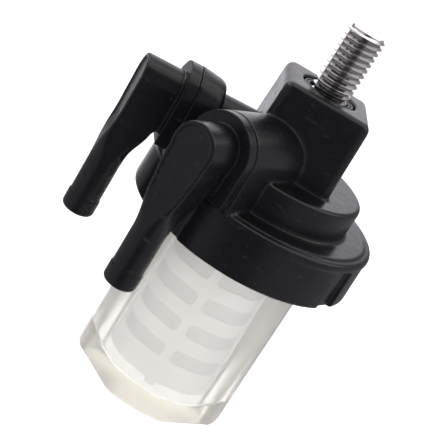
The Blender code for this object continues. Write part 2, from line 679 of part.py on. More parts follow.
def cage_wall(name):
    """The cage's wall: rings and ribs round open windows."""
    angles, levels = cage_cells()
    heights = [height for height, ring in levels]
    shape = bmesh.new()

    def grid(radius):
        rows = []
        for height in heights:
            row = []
            for angle, rib in angles:
                turn = math.radians(angle)
                row.append(shape.verts.new((radius * math.cos(turn), radius * math.sin(turn), height)))
            rows.append(row)
        return rows

    outer = grid(CAGE_OUTER)
    inner = grid(CAGE_INNER)
    count = len(angles)

    def solid(row, column):
        inside = 0 <= row < len(levels) - 1
        return inside and (levels[row][1] or angles[column % count][1])

    for row in range(len(levels) - 1):
        for column in range(count):
            if not solid(row, column):
                continue
            after = (column + 1) % count
            for wall, first, second in ((outer, column, after), (inner, after, column)):
                low, high = wall[row], wall[row + 1]
                shape.faces.new([low[first], low[second], high[second], high[first]])
            sides = [
                (solid(row - 1, column), (row, column), (row, after)),
                (solid(row + 1, column), (row + 1, after), (row + 1, column)),
                (solid(row, column - 1), (row + 1, column), (row, column)),
                (solid(row, column + 1), (row, after), (row + 1, after)),
            ]
            for covered, first, second in sides:
                if not covered:
                    corners = [outer[first[0]][first[1]], inner[first[0]][first[1]]]
                    corners += [inner[second[0]][second[1]], outer[second[0]][second[1]]]
                    shape.faces.new(corners)
    return to_object(name, shape)


def element_frame(material):
    """Strainer cage with its closed floor and three feet."""
    frame = cage_wall("element_frame")
    floor_low = (0, 0, CAGE_LOW + 0.2 * MM)
    floor = cylinder("floor", CAGE_INNER + 0.5 * MM, floor_low, (0, 0, CAGE_LOW + FLOOR_THICKNESS), 36)
    combine(frame, floor, "UNION")
    for foot in range(FOOT_COUNT):
        middle = RIB_TURN + foot * 360.0 / FOOT_COUNT
        peg = sector(
            "foot", CAGE_INNER - 0.6 * MM, CAGE_OUTER - 0.1 * MM, middle, FOOT_ANGLE,
            CAGE_LOW - FOOT_HEIGHT, CAGE_LOW + 1.0 * MM, 2,
        )
        combine(frame, peg, "UNION")
    return finish(frame, material, crease=20.0)


def element_mesh(material):
    """Mesh sleeve lining the cage."""
    outer = CAGE_INNER - GAP
    inner = outer - MESH_THICKNESS
    low = CAGE_LOW + FLOOR_THICKNESS + GAP
    high = cage_top() - 0.2 * MM
    profile = [(inner, low), (outer, low), (outer, high), (inner, high)]
    return finish(turned("element_mesh", profile, 36, loop=True), material)


def element_top_cap(material):
    """Cap on the cage, with the hub that pushes over the head's spigot and holds a seal."""
    low = cage_top() + GAP
    deck = low + CAP_THICKNESS
    bore = SPIGOT_RADIUS + GAP
    half = ELEMENT_SEAL_SECTION + GAP
    seat = bore + 2 * ELEMENT_SEAL_SECTION + 0.3 * MM
    profile = [(bore, low), (CAGE_OUTER, low), (CAGE_OUTER, deck - 0.3 * MM), (CAGE_OUTER - 0.3 * MM, deck)]
    profile += [(CAP_HUB_OUTER, deck), (CAP_HUB_OUTER, CAP_HUB_TOP), (bore, CAP_HUB_TOP)]
    profile += [(bore, ELEMENT_SEAL_Z + half), (seat, ELEMENT_SEAL_Z + half)]
    profile += [(seat, ELEMENT_SEAL_Z - half), (bore, ELEMENT_SEAL_Z - half)]
    return finish(turned("element_top_cap", profile, 40, loop=True), material)


def build():
    clear_scene()
    plastic = black_plastic()
    rubber = black_rubber()
    nylon = white_nylon()
    filter_head(plastic)
    mounting_stud(stainless())
    stud_washer(rubber)
    hose_elbow("outlet_elbow", OUTLET_ANGLE, plastic)
    hose_elbow("inlet_elbow", INLET_ANGLE, plastic)
    element_frame(nylon)
    element_mesh(strainer_mesh())
    element_top_cap(nylon)
    seal_radius = SPIGOT_RADIUS + GAP + ELEMENT_SEAL_SECTION
    o_ring("element_o_ring", seal_radius, ELEMENT_SEAL_SECTION, ELEMENT_SEAL_Z, rubber, 28)
    bowl(clear_plastic())
    seal_z = NECK_TOP - SEAL_GROOVE + GAP + SEAL_SECTION
    o_ring("bowl_o_ring", SEAL_RADIUS, SEAL_SECTION, seal_z, rubber, 40)


build()
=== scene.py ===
"""Looks of the small engine fuel filter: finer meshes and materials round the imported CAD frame."""

import math

import bmesh
import bpy
from mathutils import Matrix, Vector


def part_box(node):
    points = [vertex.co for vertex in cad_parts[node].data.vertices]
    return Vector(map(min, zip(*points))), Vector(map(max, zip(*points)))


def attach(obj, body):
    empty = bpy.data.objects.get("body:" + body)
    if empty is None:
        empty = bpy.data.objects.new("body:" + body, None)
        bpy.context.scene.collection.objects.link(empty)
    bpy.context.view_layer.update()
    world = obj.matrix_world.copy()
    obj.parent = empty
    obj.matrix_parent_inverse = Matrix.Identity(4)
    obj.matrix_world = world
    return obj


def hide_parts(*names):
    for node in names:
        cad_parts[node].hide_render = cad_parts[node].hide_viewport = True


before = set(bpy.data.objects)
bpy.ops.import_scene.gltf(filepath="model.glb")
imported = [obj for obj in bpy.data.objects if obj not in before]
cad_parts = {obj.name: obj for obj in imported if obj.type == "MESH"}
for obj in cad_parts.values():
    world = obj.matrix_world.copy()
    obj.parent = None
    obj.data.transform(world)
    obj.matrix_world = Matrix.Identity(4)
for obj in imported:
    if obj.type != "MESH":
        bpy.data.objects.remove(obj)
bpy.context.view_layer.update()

MM = 0.001
GAP = 0.3 * MM  # clearance between pieces
OVERRUN = 1.0 * MM  # how far a cutting tool goes past the face it cuts
TRIM = 0.02 * MM  # how far a trimming envelope stands outside a thread's crest

# Sizes read from the frame
head_low, head_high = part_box("filter_head")
bowl_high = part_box("bowl")[1]
stud_low, stud_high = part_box("mounting_stud")
washer_low, washer_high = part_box("stud_washer")
cage_low, cage_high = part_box("element_frame")
cap_low, cap_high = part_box("element_top_cap")
sleeve_low, sleeve_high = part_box("element_mesh")

# Levels up the axis
SKIRT_BOTTOM = head_low.z
BLOCK_TOP = head_high.z
RIM_LOW = SKIRT_BOTTOM + 9.1 * MM
FLANGE_TOP = SKIRT_BOTTOM + 10.85 * MM
PLINTH_TOP = SKIRT_BOTTOM + 17.6 * MM
PORT_Z = SKIRT_BOTTOM + 19.8 * MM
CEILING = SKIRT_BOTTOM + 8.8 * MM
CHAMBER_ROOF = SKIRT_BOTTOM + 15.3 * MM
SPIGOT_TIP = SKIRT_BOTTOM + 5.5 * MM
NECK_TOP = bowl_high.z
SHOULDER_LOW = SKIRT_BOTTOM + 0.5 * MM

# Head
RIM_RADIUS = head_high.x
SKIRT_RADIUS = RIM_RADIUS
SKIRT_RADIUS_TOP = RIM_RADIUS - 0.25 * MM
RIM_ROUND = 0.9 * MM
SKIRT_CHAMFER = 0.4 * MM
RIM_STEP = 0.1 * MM
LAND_RADIUS = 22.8 * MM
LAND_STEP = 0.3 * MM
LAND_RUN = 0.1 * MM
LAND_RISE = 0.8
PLINTH_RADIUS = 17.9 * MM
PLINTH_ROUND = 0.9 * MM
PLINTH_FOOT = 0.2 * MM
BLOCK_WIDTH = 18.5 * MM
BLOCK_EDGE = 1.7 * MM
BLOCK_SUNK = 2.0 * MM
LEAST_CORNER = 0.05 * MM
DRAFT = 0.027
GROOVE_TURN = 52.5
GROOVE_ANGLE = 11.5
GROOVE_DEPTH = 1.0 * MM
GROOVE_END = 0.3 * MM
GROOVE_COUNT = 4
CHAMBER_RADIUS = 14.6 * MM
CHAMBER_SUNK = 3.0 * MM
SPIGOT_RADIUS = 4.2 * MM
SPIGOT_BORE = 2.2 * MM
BORE_OVERRUN = 2.0 * MM
PASSAGE_RADIUS = 2.3 * MM
INLET_DROP = 11.5 * MM
INLET_DROP_RADIUS = 2.0 * MM
COUNTERBORE_RADIUS = 5.9 * MM
COUNTERBORE_DEPTH = 1.6 * MM
CAVITY_CREST_HALF = 0.511 * MM
CAVITY_ROOT_HALF = 1.111 * MM
MOUTH_CLEARANCE = 0.8 * MM
MOUTH_LEVELS = (0.6 * MM, 1.1 * MM)
CAVITY_END = 0.8 * MM

# Ports and elbows
OUTLET_ANGLE = -125.0
INLET_ANGLE = -170.0
PORT_FACE = 24.1 * MM
PORT_HALF_WIDTH = 7.25 * MM
SOCKET_RADIUS = 4.5 * MM
SOCKET_DEPTH = 4.3 * MM
OUTLET_HOUSING_INNER = 2.0 * MM
INLET_HOUSING_INNER = 18.3 * MM
# Distance past the inner end and half-width, in mm
INLET_SECTIONS = ((0.0, 5.9), (0.5, 6.45), (1.5, 6.75), (5.8, 7.25))
WEB_HALF_WIDTH = 4.45 * MM
WEB_INNER = 5.0 * MM
HOUSING_SUNK = 0.6 * MM
WEB_SUNK = 1.0 * MM
COLLAR_HALF_WIDTH = 7.15 * MM
COLLAR_THICKNESS = 2.4 * MM
COLLAR_OVERLAP = 0.5 * MM
COLLAR_DROP = PORT_Z - FLANGE_TOP - GAP
ELBOW_FACE = 10.4 * MM
ELBOW_RADIUS = 4.75 * MM
NIPPLE_OFFSET = 7.75 * MM
NIPPLE_RADIUS = 3.2 * MM
NIPPLE_BORE = 2.0 * MM
NIPPLE_START = 1.0 * MM
NIPPLE_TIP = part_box("outlet_elbow")[0].z - PORT_Z
FLARE_DEPTH = 1.5 * MM
FLARE_LEVELS = (-15.5 * MM, -7.5 * MM)
JOIN_LEVELS = (-8.5 * MM, -6.0 * MM)
TAPER_LEVELS = (-16.0 * MM, -3.0 * MM)
CORNER_LEVELS = (-19.5 * MM, -10.0 * MM)
ELBOW_CORNER = 0.55 * MM
LEAST_WIDTH = 0.2 * MM
LEAST_LIP = 0.02 * MM
CORNER_SHARE = 0.98
PLUG_SUNK = 1.0 * MM
SEAM = 0.06 * MM  # hairline between elbow and head
LIP_WIDTH = 0.75 * MM
LIP_SLOPE = 0.15 * MM
LIP_DEPTH = 0.30 * MM
LIP_SHARE = 0.95
LIP_LEVELS = (-13.0 * MM, -9.0 * MM)
ELBOW_WAIST = 0.25 * MM
TIP_EDGE = 0.9 * MM
TIP_RING_SLOPE = 0.2 * MM
TIP_RING_TOP = NIPPLE_TIP + 3.65 * MM
TIP_RING_RADIUS = 3.4 * MM

# Stud
STUD_RADIUS = 4.0 * MM
STUD_ROOT = 3.32 * MM
STUD_PITCH = 1.25 * MM
STUD_CHAMFER = 0.75 * MM
STUD_POINT = 0.9 * MM
STUD_CREST_HALF = 0.08 * MM
STUD_ROOT_HALF = 0.47 * MM
STUD_ROOT_DIP = 0.03 * MM
STUD_CLEAR = 0.05 * MM
STUD_TIP_STEP = 0.16 * MM
STUD_TIP_LOW = 0.35 * MM
STUD_TIP_ROUND = 0.30 * MM
SHANK_PROUD = 0.03 * MM
SHANK_LAPS = (0.5 * MM, 0.3 * MM)
STUD_TOP = stud_high.z
STUD_HEAD_LOW = stud_low.z
STUD_HEAD_HEIGHT = 5.3 * MM
STUD_HEAD_FLATS = 13.0 * MM
STUD_THREAD_LOW = STUD_HEAD_LOW + 6.7 * MM

# Bowl
BOWL_RADIUS = 17.45 * MM
BOWL_RADIUS_TOP = 17.05 * MM
BOWL_FLAT = 16.1 * MM
BOWL_FLAT_TURN = 38.0
BOWL_EDGE_STEPS = 9
BOWL_EDGE = 0.7 * MM
BOWL_INNER = 13.8 * MM
BOWL_INNER_LOW = 13.1 * MM
BOWL_INNER_ROUND = 1.6 * MM
BOWL_FLOOR = 3.4 * MM
NECK_INNER = 15.2 * MM
NECK_ROOT = 19.4 * MM
NECK_CREST = 20.3 * MM
NECK_PITCH = 3.0 * MM
NECK_CREST_HALF = 0.35 * MM
NECK_ROOT_HALF = 0.95 * MM
NECK_CORE = NECK_ROOT - 0.1 * MM
SHOULDER_RUN = 0.4 * MM
SHOULDER_RISE = 0.9 * MM
WALL_LAP = 0.4 * MM
NECK_FLARE_LEVELS = (-2.0 * MM, 0.5 * MM)
THREAD_LOW = SHOULDER_LOW + 1.1 * MM
THREAD_HIGH = NECK_TOP - 0.8 * MM
THREAD_RUNOUT = 0.7 * MM
SEAL_RADIUS = 17.3 * MM
SEAL_SECTION = 0.9 * MM
SEAL_GROOVE = 1.5 * MM

# Strainer element
CAGE_OUTER = 12.2 * MM
CAGE_INNER = 11.3 * MM
CAGE_EDGE = 0.25 * MM
FOOT_HEIGHT = 1.0 * MM
CAGE_LOW = cage_low.z + FOOT_HEIGHT
CAGE_TOP = cage_high.z
WINDOW_LOW = 11.6 * MM
WINDOW_HEIGHT = 3.0 * MM
WINDOW_SPACING = 6.45 * MM
WINDOW_ROWS = 5
WINDOW_CORNER = 0.8 * MM
WINDOW_EDGE_STEPS = 16
RIB_COUNT = 6
RIB_TURN = -96.0
RIB_ANGLE = 10.0
FLOOR_THICKNESS = 1.4 * MM
FOOT_COUNT = 3
FOOT_ANGLE = 11.0
FOOT_INNER = CAGE_INNER - 0.6 * MM
FOOT_OUTER = CAGE_OUTER - 0.1 * MM
FOOT_LAP = 1.0 * MM
MESH_THICKNESS = 0.35 * MM
MESH_DEPTH = 0.35 * MM
WEAVE_WIRES = 176
WEAVE_PITCH = 0.4 * MM
CAP_THICKNESS = 1.5 * MM
CAP_HUB_OUTER = 7.4 * MM
CAP_EDGE = 0.3 * MM
CAP_SEAT_ROOM = 0.3 * MM
ELEMENT_SEAL_Z = SKIRT_BOTTOM + 9.7 * MM
ELEMENT_SEAL_SECTION = 0.8 * MM

# Segments of round shapes
ROUND = 192
MEDIUM = 128
THREADED = 120
FINE = 96
SMALL = 64

# Voxel size, smoothing rounds and share of faces kept for each rounded moulding
HEAD_FINISH = (0.3 * MM, 3, 0.58)
ELBOW_FINISH = (0.15 * MM, 2, 0.75)
CAGE_FINISH = (0.2 * MM, 2, 0.55)

# Colours and brightness of the materials
NOISE_LOW = 0.3
NOISE_HIGH = 0.7
PLASTIC_DEEP = (0.0030, 0.0027, 0.0034, 1.0)
PLASTIC_PALE = (0.0058, 0.0052, 0.0064, 1.0)
PLASTIC_SCUFF = (0.035, 0.033, 0.037, 1.0)
PLASTIC_DUST = (0.06, 0.057, 0.06, 1.0)
STEEL_DULL = (0.74, 0.72, 0.71, 1.0)
STEEL_BRIGHT = (0.86, 0.84, 0.83, 1.0)
STEEL_STAIN = (0.36, 0.34, 0.32, 1.0)
# painted shade: the dark colour laid into the stud's thread roots
STEEL_ROOT_SHADE = (0.10, 0.09, 0.085, 1.0)
RUBBER_DEEP = (0.010, 0.010, 0.011, 1.0)
RUBBER_BLOOM = (0.022, 0.021, 0.022, 1.0)
CLEAR_DEEP = (0.980, 0.974, 0.968, 1.0)
CLEAR_PALE = (0.992, 0.987, 0.982, 1.0)
CLEAR_DEPTH_COLOUR = (0.975, 0.950, 0.84, 1.0)
CLEAR_DEPTH_DENSITY = 52.0
NYLON_DEEP = (0.90, 0.89, 0.89, 1.0)
NYLON_PALE = (0.94, 0.93, 0.93, 1.0)
NYLON_FLECK = (0.68, 0.66, 0.63, 1.0)
WEAVE_DEEP = (0.66, 0.65, 0.65, 1.0)
WEAVE_PALE = (0.74, 0.73, 0.73, 1.0)
# painted shade: the darker colour of the gaps between the wires, for the shaded inside seen through
# them
WEAVE_GAP_SHADE = (0.46, 0.45, 0.44, 1.0)
FLOOR_DEEP = (0.27, 0.27, 0.27, 1.0)
FLOOR_PALE = (0.29, 0.29, 0.29, 1.0)
FLOOR_GLOW_COLOUR = (1.0, 1.0, 1.0, 1.0)
FLOOR_GLOW = 1.0

# Camera, fitted to the photograph
CAMERA_AZIMUTH = 7.86
CAMERA_ELEVATION = 20.52
CAMERA_ROLL = 32.3
CAMERA_DISTANCE = 245.31 * MM
CAMERA_AIM = (-3.735 * MM, 0.518 * MM, 37.95 * MM)
CAMERA_LENS = 96.33
CAMERA_SENSOR = 36.0
CAMERA_CLIP = (10 * MM, 20.0)

# Surround: brightness in front, at the sides, behind, and behind to either side
WORLD_COLOUR = (0.955, 0.93, 1.0, 1.0)
WORLD_FRONT = 0.12
WORLD_SIDE = 0.60
WORLD_BACK = 1.45
WORLD_BACK_SIDE = 0.28
CARD_FADE = (0.20, 0.42)
SIDE_FADE = (0.15, 0.60)
BACK_FADE = (0.1, 0.85)

# Floor, low enough for the bowl to unscrew above it
FLOOR_RADIUS = 3.0
FLOOR_DROP = 12 * MM

# Lights: name, place, size, power, and whether they show in reflections
LIGHT_AIM = (0.0, 0.0, 0.045)
LIGHTS = (
    ("key", (-0.34, 0.26, 0.36), (0.20, 0.20), 0.5, True),
    ("over_left", (-0.24, 0.06, 0.50), (0.40, 0.60), 1.1, True),
    ("over_right", (0.22, 0.06, 0.50), (0.36, 0.60), 1.1, True),
    ("front_fill", (-0.10, -0.50, 0.20), (0.50, 0.40), 1.5, False),
    ("low_fill", (0.35, -0.30, 0.06), (0.30, 0.20), 0.5, False),
)


# ---------------------------------------------------------------- mesh tools


def to_object(name, shape):
    """Give a bmesh outward faces, and turn it into an object in the scene."""
    bmesh.ops.remove_doubles(shape, verts=shape.verts, dist=1e-7)
    bmesh.ops.recalc_face_normals(shape, faces=shape.faces)
    mesh = bpy.data.meshes.new(name)
    shape.to_mesh(mesh)
    shape.free()
    item = bpy.data.objects.new(name, mesh)
    bpy.context.scene.collection.objects.link(item)
    return item


def arc(centre, radius, start, end, steps):
    """Points on an arc in a plane, angles in degrees."""
    points = []
    for step in range(steps + 1):
        angle = math.radians(start + (end - start) * step / steps)
        points.append((centre[0] + radius * math.cos(angle), centre[1] + radius * math.sin(angle)))
    return points


def turned(name, profile, segments=ROUND, loop=False):
    """A solid turned about Z from (radius, height) points. A loop makes a ring; without it the
    profile's ends lie on the axis."""
    shape = bmesh.new()
    rows = []
    for radius, height in profile:
        if radius < 1e-9:
            rows.append([shape.verts.new((0.0, 0.0, height))] * segments)
            continue
        row = []
        for index in range(segments):
            angle = 2 * math.pi * index / segments
            point = (radius * math.cos(angle), radius * math.sin(angle), height)
            row.append(shape.verts.new(point))
        rows.append(row)
    pairs = list(zip(rows, rows[1:]))
    if loop:
        pairs.append((rows[-1], rows[0]))
    for lower, upper in pairs:
        for index in range(segments):
            after = (index + 1) % segments
            corners = [lower[index], lower[after], upper[after], upper[index]]
            distinct = list(dict.fromkeys(corners))
            if len(distinct) > 2:
                shape.faces.new(distinct)
    return to_object(name, shape)


def lofted(name, outlines, frame_matrix=None):
    """A solid through a row of outlines that have the same number of points."""
    place = frame_matrix or Matrix.Identity(4)
    shape = bmesh.new()
    rows = [[shape.verts.new(place @ Vector(point)) for point in outline] for outline in outlines]
    for lower, upper in zip(rows, rows[1:]):
        for index in range(len(lower)):
            after = (index + 1) % len(lower)
            shape.faces.new([lower[index], lower[after], upper[after], upper[index]])
    shape.faces.new(rows[0][::-1])
    shape.faces.new(rows[-1])
    return to_object(name, shape)


def cylinder(name, radius, start, end, segments=SMALL):
    """A closed tool between two points."""
    start = Vector(start)
    axis = Vector(end) - start
    shape = bmesh.new()
    bmesh.ops.create_cone(
        shape, cap_ends=True, segments=segments, radius1=radius, radius2=radius, depth=axis.length
    )
    turn = axis.to_track_quat("Z", "Y").to_matrix().to_4x4()
    place = Matrix.Translation(start + axis / 2) @ turn
    bmesh.ops.transform(shape, matrix=place, verts=shape.verts)
    return to_object(name, shape)


def bake_modifiers(item):
    """Replace the mesh by what its modifiers make of it."""
    bpy.context.view_layer.update()
    evaluated = item.evaluated_get(bpy.context.evaluated_depsgraph_get())
    mesh = bpy.data.meshes.new_from_object(evaluated)
    item.modifiers.clear()
    item.data = mesh
    return item


def combine(body, tool, operation):
    """Join, cut or intersect a body with a tool, and drop the tool."""
    modifier = body.modifiers.new("combine", "BOOLEAN")
    modifier.operation = operation
    modifier.solver = "EXACT"
    modifier.object = tool
    bake_modifiers(body)
    bpy.data.objects.remove(tool, do_unlink=True)
    return body


def soften(item, voxel, rounds, keep):
    """Round every edge and crease a little, as a moulded part has them, then thin the mesh to a
    share of its faces."""
    remesh = item.modifiers.new("remesh", "REMESH")
    remesh.mode = "VOXEL"
    remesh.voxel_size = voxel
    smooth = item.modifiers.new("smooth", "SMOOTH")
    smooth.factor = 0.5
    smooth.iterations = rounds
    thin = item.modifiers.new("thin", "DECIMATE")
    thin.ratio = keep
    bake_modifiers(item)
    item.data.shade_smooth()
    return item


def sharpen(item, crease):
    """Smooth shading that breaks at creases."""
    shape = bmesh.new()
    shape.from_mesh(item.data)
    bmesh.ops.remove_doubles(shape, verts=shape.verts, dist=2e-6)
    bmesh.ops.dissolve_degenerate(shape, edges=shape.edges, dist=1e-6)
    shape.to_mesh(item.data)
    shape.free()
    item.data.shade_smooth()
    item.data.set_sharp_from_angle(angle=math.radians(crease))
    return item


def dress(item, material, node, body):
    """Give a piece its material, and put it in the CAD node's place."""
    item.data.materials.clear()
    item.data.materials.append(material)
    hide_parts(node)
    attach(item, body)
    return item


def threaded_rod(name, across, pitch, low, high, steps):
    """A right-hand screw thread from the (rise, radius) points of one turn, running a full turn past
    both levels, ready to be trimmed."""
    first = math.floor(low / pitch) - 1
    last = math.ceil(high / pitch) + 1
    shape = bmesh.new()
    columns = []
    for step in range(steps):
        angle = 2 * math.pi * step / steps
        column = []
        for turn in range(first, last + 1):
            for rise, radius in across:
                height = (turn + step / steps) * pitch + rise
                point = (radius * math.cos(angle), radius * math.sin(angle), height)
                column.append(shape.verts.new(point))
        columns.append(column)
    count = len(columns[0])
    for here, there in zip(columns, columns[1:]):
        for row in range(count - 1):
            shape.faces.new([here[row], there[row], there[row + 1], here[row + 1]])
    seam = columns[-1]
    start = columns[0]
    per_turn = len(across)
    for row in range(count - 1 - per_turn):
        above = row + per_turn
        shape.faces.new([seam[row], start[above], start[above + 1], seam[row + 1]])
    bottom = [column[0] for column in columns] + start[per_turn:0:-1]
    top = [column[-1] for column in columns[::-1]] + seam[count - 1 - per_turn:count - 1]
    for edge_loop, height in ((bottom, first * pitch), (top, last * pitch + pitch)):
        centre = shape.verts.new((0.0, 0.0, height))
        for index, vertex in enumerate(edge_loop):
            after = edge_loop[(index + 1) % len(edge_loop)]
            shape.faces.new([centre, vertex, after])
    return to_object(name, shape)


def port_frame(angle):
    """Frame of a port: +X out along its axis, origin on the filter's axis."""
    return Matrix.Translation((0.0, 0.0, PORT_Z)) @ Matrix.Rotation(math.radians(angle), 4, "Z")


def arch_outline(x, half_width, drop, steps=48, spread=0.0):
    """A half-round top on straight sides, in the plane at x of a port frame."""
    points = [(x, y, z) for y, z in arc((0.0, 0.0), half_width, 0.0, 180.0, steps)]
    foot = half_width + spread * drop
    return points + [(x, -foot, -drop), (x, foot, -drop)]


def sector(name, inner, outer, middle, angle, low, high, steps=12):
    """An upright piece of a ring wall, angles in degrees."""
    start = middle - angle / 2
    end = middle + angle / 2
    outline = arc((0.0, 0.0), inner, start, end, steps)
    outline += arc((0.0, 0.0), outer, end, start, steps)
    return lofted(name, [[(x, y, z) for x, y in outline] for z in (low, high)])


def hexagon(name, flats, low, high):
    """A hexagonal prism with a corner on X."""
    corner = flats / math.sqrt(3)
    outline = arc((0.0, 0.0), corner, 0.0, 300.0, 5)
    return lofted(name, [[(x, y, z) for x, y in outline] for z in (low, high)])


# ---------------------------------------------------------------- head


def head_body():
    """Skirt, rim, flange and plinth turned in one profile."""
    profile = [(0.0, SKIRT_BOTTOM), (SKIRT_RADIUS - SKIRT_CHAMFER, SKIRT_BOTTOM)]
    profile += [(SKIRT_RADIUS, SKIRT_BOTTOM + SKIRT_CHAMFER)]
    profile += [(SKIRT_RADIUS_TOP, RIM_LOW - RIM_STEP), (RIM_RADIUS, RIM_LOW)]
    rim_top = (RIM_RADIUS - RIM_ROUND, FLANGE_TOP - LAND_STEP - RIM_ROUND)
    profile += arc(rim_top, RIM_ROUND, 0.0, 90.0, 10)
    profile += [(LAND_RADIUS + LAND_RUN, FLANGE_TOP - LAND_RISE * LAND_STEP)]
    profile += [(LAND_RADIUS, FLANGE_TOP), (PLINTH_RADIUS + PLINTH_FOOT, FLANGE_TOP)]
    profile += [(PLINTH_RADIUS, FLANGE_TOP + PLINTH_FOOT)]
    plinth_top = (PLINTH_RADIUS - PLINTH_ROUND, PLINTH_TOP - PLINTH_ROUND)
    profile += arc(plinth_top, PLINTH_ROUND, 0.0, 90.0, 10)
    profile += [(0.0, PLINTH_TOP)]
    return turned("head_shell", profile)


def head_cavity():
    """The threaded mouth for the bowl's neck."""
    crest_wall = NECK_CREST + GAP
    root_wall = NECK_ROOT + GAP
    across = [(-CAVITY_CREST_HALF, crest_wall), (CAVITY_CREST_HALF, crest_wall)]
    across += [(CAVITY_ROOT_HALF, root_wall), (NECK_PITCH - CAVITY_ROOT_HALF, root_wall)]
    rod = threaded_rod("cavity", across, NECK_PITCH, SKIRT_BOTTOM, CEILING, THREADED)
    mouth = NECK_CREST + MOUTH_CLEARANCE
    crest = crest_wall + TRIM
    envelope = [(0.0, SKIRT_BOTTOM - OVERRUN), (mouth, SKIRT_BOTTOM - OVERRUN)]
    envelope += [(mouth, SKIRT_BOTTOM + MOUTH_LEVELS[0]), (crest, SKIRT_BOTTOM + MOUTH_LEVELS[1])]
    envelope += [(crest, CEILING - CAVITY_END), (root_wall, CEILING), (0.0, CEILING)]
    return combine(rod, turned("envelope", envelope, THREADED), "INTERSECT")


def drafted_block():
    """The square block under the stud, wider towards its base."""
    half = BLOCK_WIDTH / 2
    edge = arc((0, 0), BLOCK_EDGE, 0.0, 90.0, 10)
    levels = [PLINTH_TOP - BLOCK_SUNK] + [BLOCK_TOP - BLOCK_EDGE + point[1] for point in edge]
    insets = [0.0] + [BLOCK_EDGE - point[0] for point in edge]
    rows = []
    for level, inset in zip(levels, insets):
        reach = half + DRAFT * (BLOCK_TOP - level) - inset
        corner = max(BLOCK_EDGE - inset, LEAST_CORNER)
        outline = []
        for quarter in range(4):
            cosine = math.cos(math.radians(90.0 * quarter))
            sine = math.sin(math.radians(90.0 * quarter))
            for x, y in arc((reach - corner, reach - corner), corner, 0.0, 90.0, 10):
                outline.append((x * cosine - y * sine, x * sine + y * cosine, level))
        rows.append(outline)
    return lofted("block", rows)


def port_housings(head):
    """The outlet's long housing, the inlet's short one, and the web from that to the block."""
    depth = PORT_Z - FLANGE_TOP + HOUSING_SUNK
    ends = [(OUTLET_HOUSING_INNER, PORT_HALF_WIDTH), (PORT_FACE, PORT_HALF_WIDTH)]
    outlines = [arch_outline(x, half_width, depth, spread=DRAFT) for x, half_width in ends]
    combine(head, lofted("outlet", outlines, port_frame(OUTLET_ANGLE)), "UNION")
    outlines = []
    for past, half_width in INLET_SECTIONS:
        x = INLET_HOUSING_INNER + past * MM
        outlines.append(arch_outline(x, half_width * MM, depth, spread=DRAFT))
    combine(head, lofted("inlet", outlines, port_frame(INLET_ANGLE)), "UNION")
    depth = PORT_Z - PLINTH_TOP + WEB_SUNK
    ends = (WEB_INNER, INLET_HOUSING_INNER + HOUSING_SUNK)
    outlines = [arch_outline(x, WEB_HALF_WIDTH, depth, 32, DRAFT) for x in ends]
    combine(head, lofted("web", outlines, port_frame(INLET_ANGLE)), "UNION")


def skirt_grooves(head):
    """Upright grip grooves, evenly round the skirt."""
    inner = SKIRT_RADIUS - GROOVE_DEPTH
    outer = RIM_RADIUS + OVERRUN
    low = SKIRT_BOTTOM - OVERRUN
    high = RIM_LOW - GROOVE_END
    for index in range(GROOVE_COUNT):
        middle = GROOVE_TURN + 360.0 / GROOVE_COUNT * index
        groove = sector("groove", inner, outer, middle, GROOVE_ANGLE, low, high)
        combine(head, groove, "DIFFERENCE")


def head_passages(head):
    """Chamber with its spigot, and the ports' passages with the sockets for the elbows."""
    chamber_low = (0, 0, CEILING - CHAMBER_SUNK)
    chamber = cylinder("chamber", CHAMBER_RADIUS, chamber_low, (0, 0, CHAMBER_ROOF), ROUND)
    combine(head, chamber, "DIFFERENCE")
    spigot = cylinder("spigot", SPIGOT_RADIUS, (0, 0, SPIGOT_TIP), (0, 0, CHAMBER_ROOF + OVERRUN))
    combine(head, spigot, "UNION")
    bore = cylinder("bore", SPIGOT_BORE, (0, 0, SPIGOT_TIP - BORE_OVERRUN), (0, 0, PORT_Z))
    combine(head, bore, "DIFFERENCE")
    for angle, inner in ((OUTLET_ANGLE, 0.0), (INLET_ANGLE, INLET_DROP)):
        place = port_frame(angle)
        inside = place @ Vector((inner - SPIGOT_BORE, 0.0, 0.0))
        outside = place @ Vector((PORT_FACE + OVERRUN, 0.0, 0.0))
        combine(head, cylinder("passage", PASSAGE_RADIUS, inside, outside), "DIFFERENCE")
        socket = place @ Vector((PORT_FACE - SOCKET_DEPTH, 0.0, 0.0))
        combine(head, cylinder("socket", SOCKET_RADIUS, socket, outside), "DIFFERENCE")
    drop_top = port_frame(INLET_ANGLE) @ Vector((INLET_DROP, 0.0, 0.0))
    drop_low = drop_top - Vector((0.0, 0.0, PORT_Z - CHAMBER_ROOF + OVERRUN))
    combine(head, cylinder("drop", INLET_DROP_RADIUS, drop_low, drop_top), "DIFFERENCE")


def stud_pocket(head):
    """Room for the stud's head and shank, and the counterbore at the top."""
    pocket_top = STUD_HEAD_LOW + STUD_HEAD_HEIGHT + GAP
    pocket = hexagon("pocket", STUD_HEAD_FLATS + 2 * GAP, STUD_HEAD_LOW - GAP, pocket_top)
    combine(head, pocket, "DIFFERENCE")
    above = (0, 0, BLOCK_TOP + OVERRUN)
    combine(head, cylinder("shank", STUD_RADIUS + GAP, (0, 0, STUD_HEAD_LOW), above), "DIFFERENCE")
    low = (0, 0, BLOCK_TOP - COUNTERBORE_DEPTH)
    combine(head, cylinder("counterbore", COUNTERBORE_RADIUS, low, above, FINE), "DIFFERENCE")


def filter_head():
    """The whole black head, one moulding."""
    head = head_body()
    combine(head, drafted_block(), "UNION")
    port_housings(head)
    skirt_grooves(head)
    combine(head, head_cavity(), "DIFFERENCE")
    head_passages(head)
    stud_pocket(head)
    return soften(head, *HEAD_FINISH)


# ---------------------------------------------------------------- elbows


def blend(value, low, high):
    """A smooth step from 0 at low to 1 at high."""
    share = min(1.0, max(0.0, (value - low) / (high - low)))
    return share * share * (3.0 - 2.0 * share)


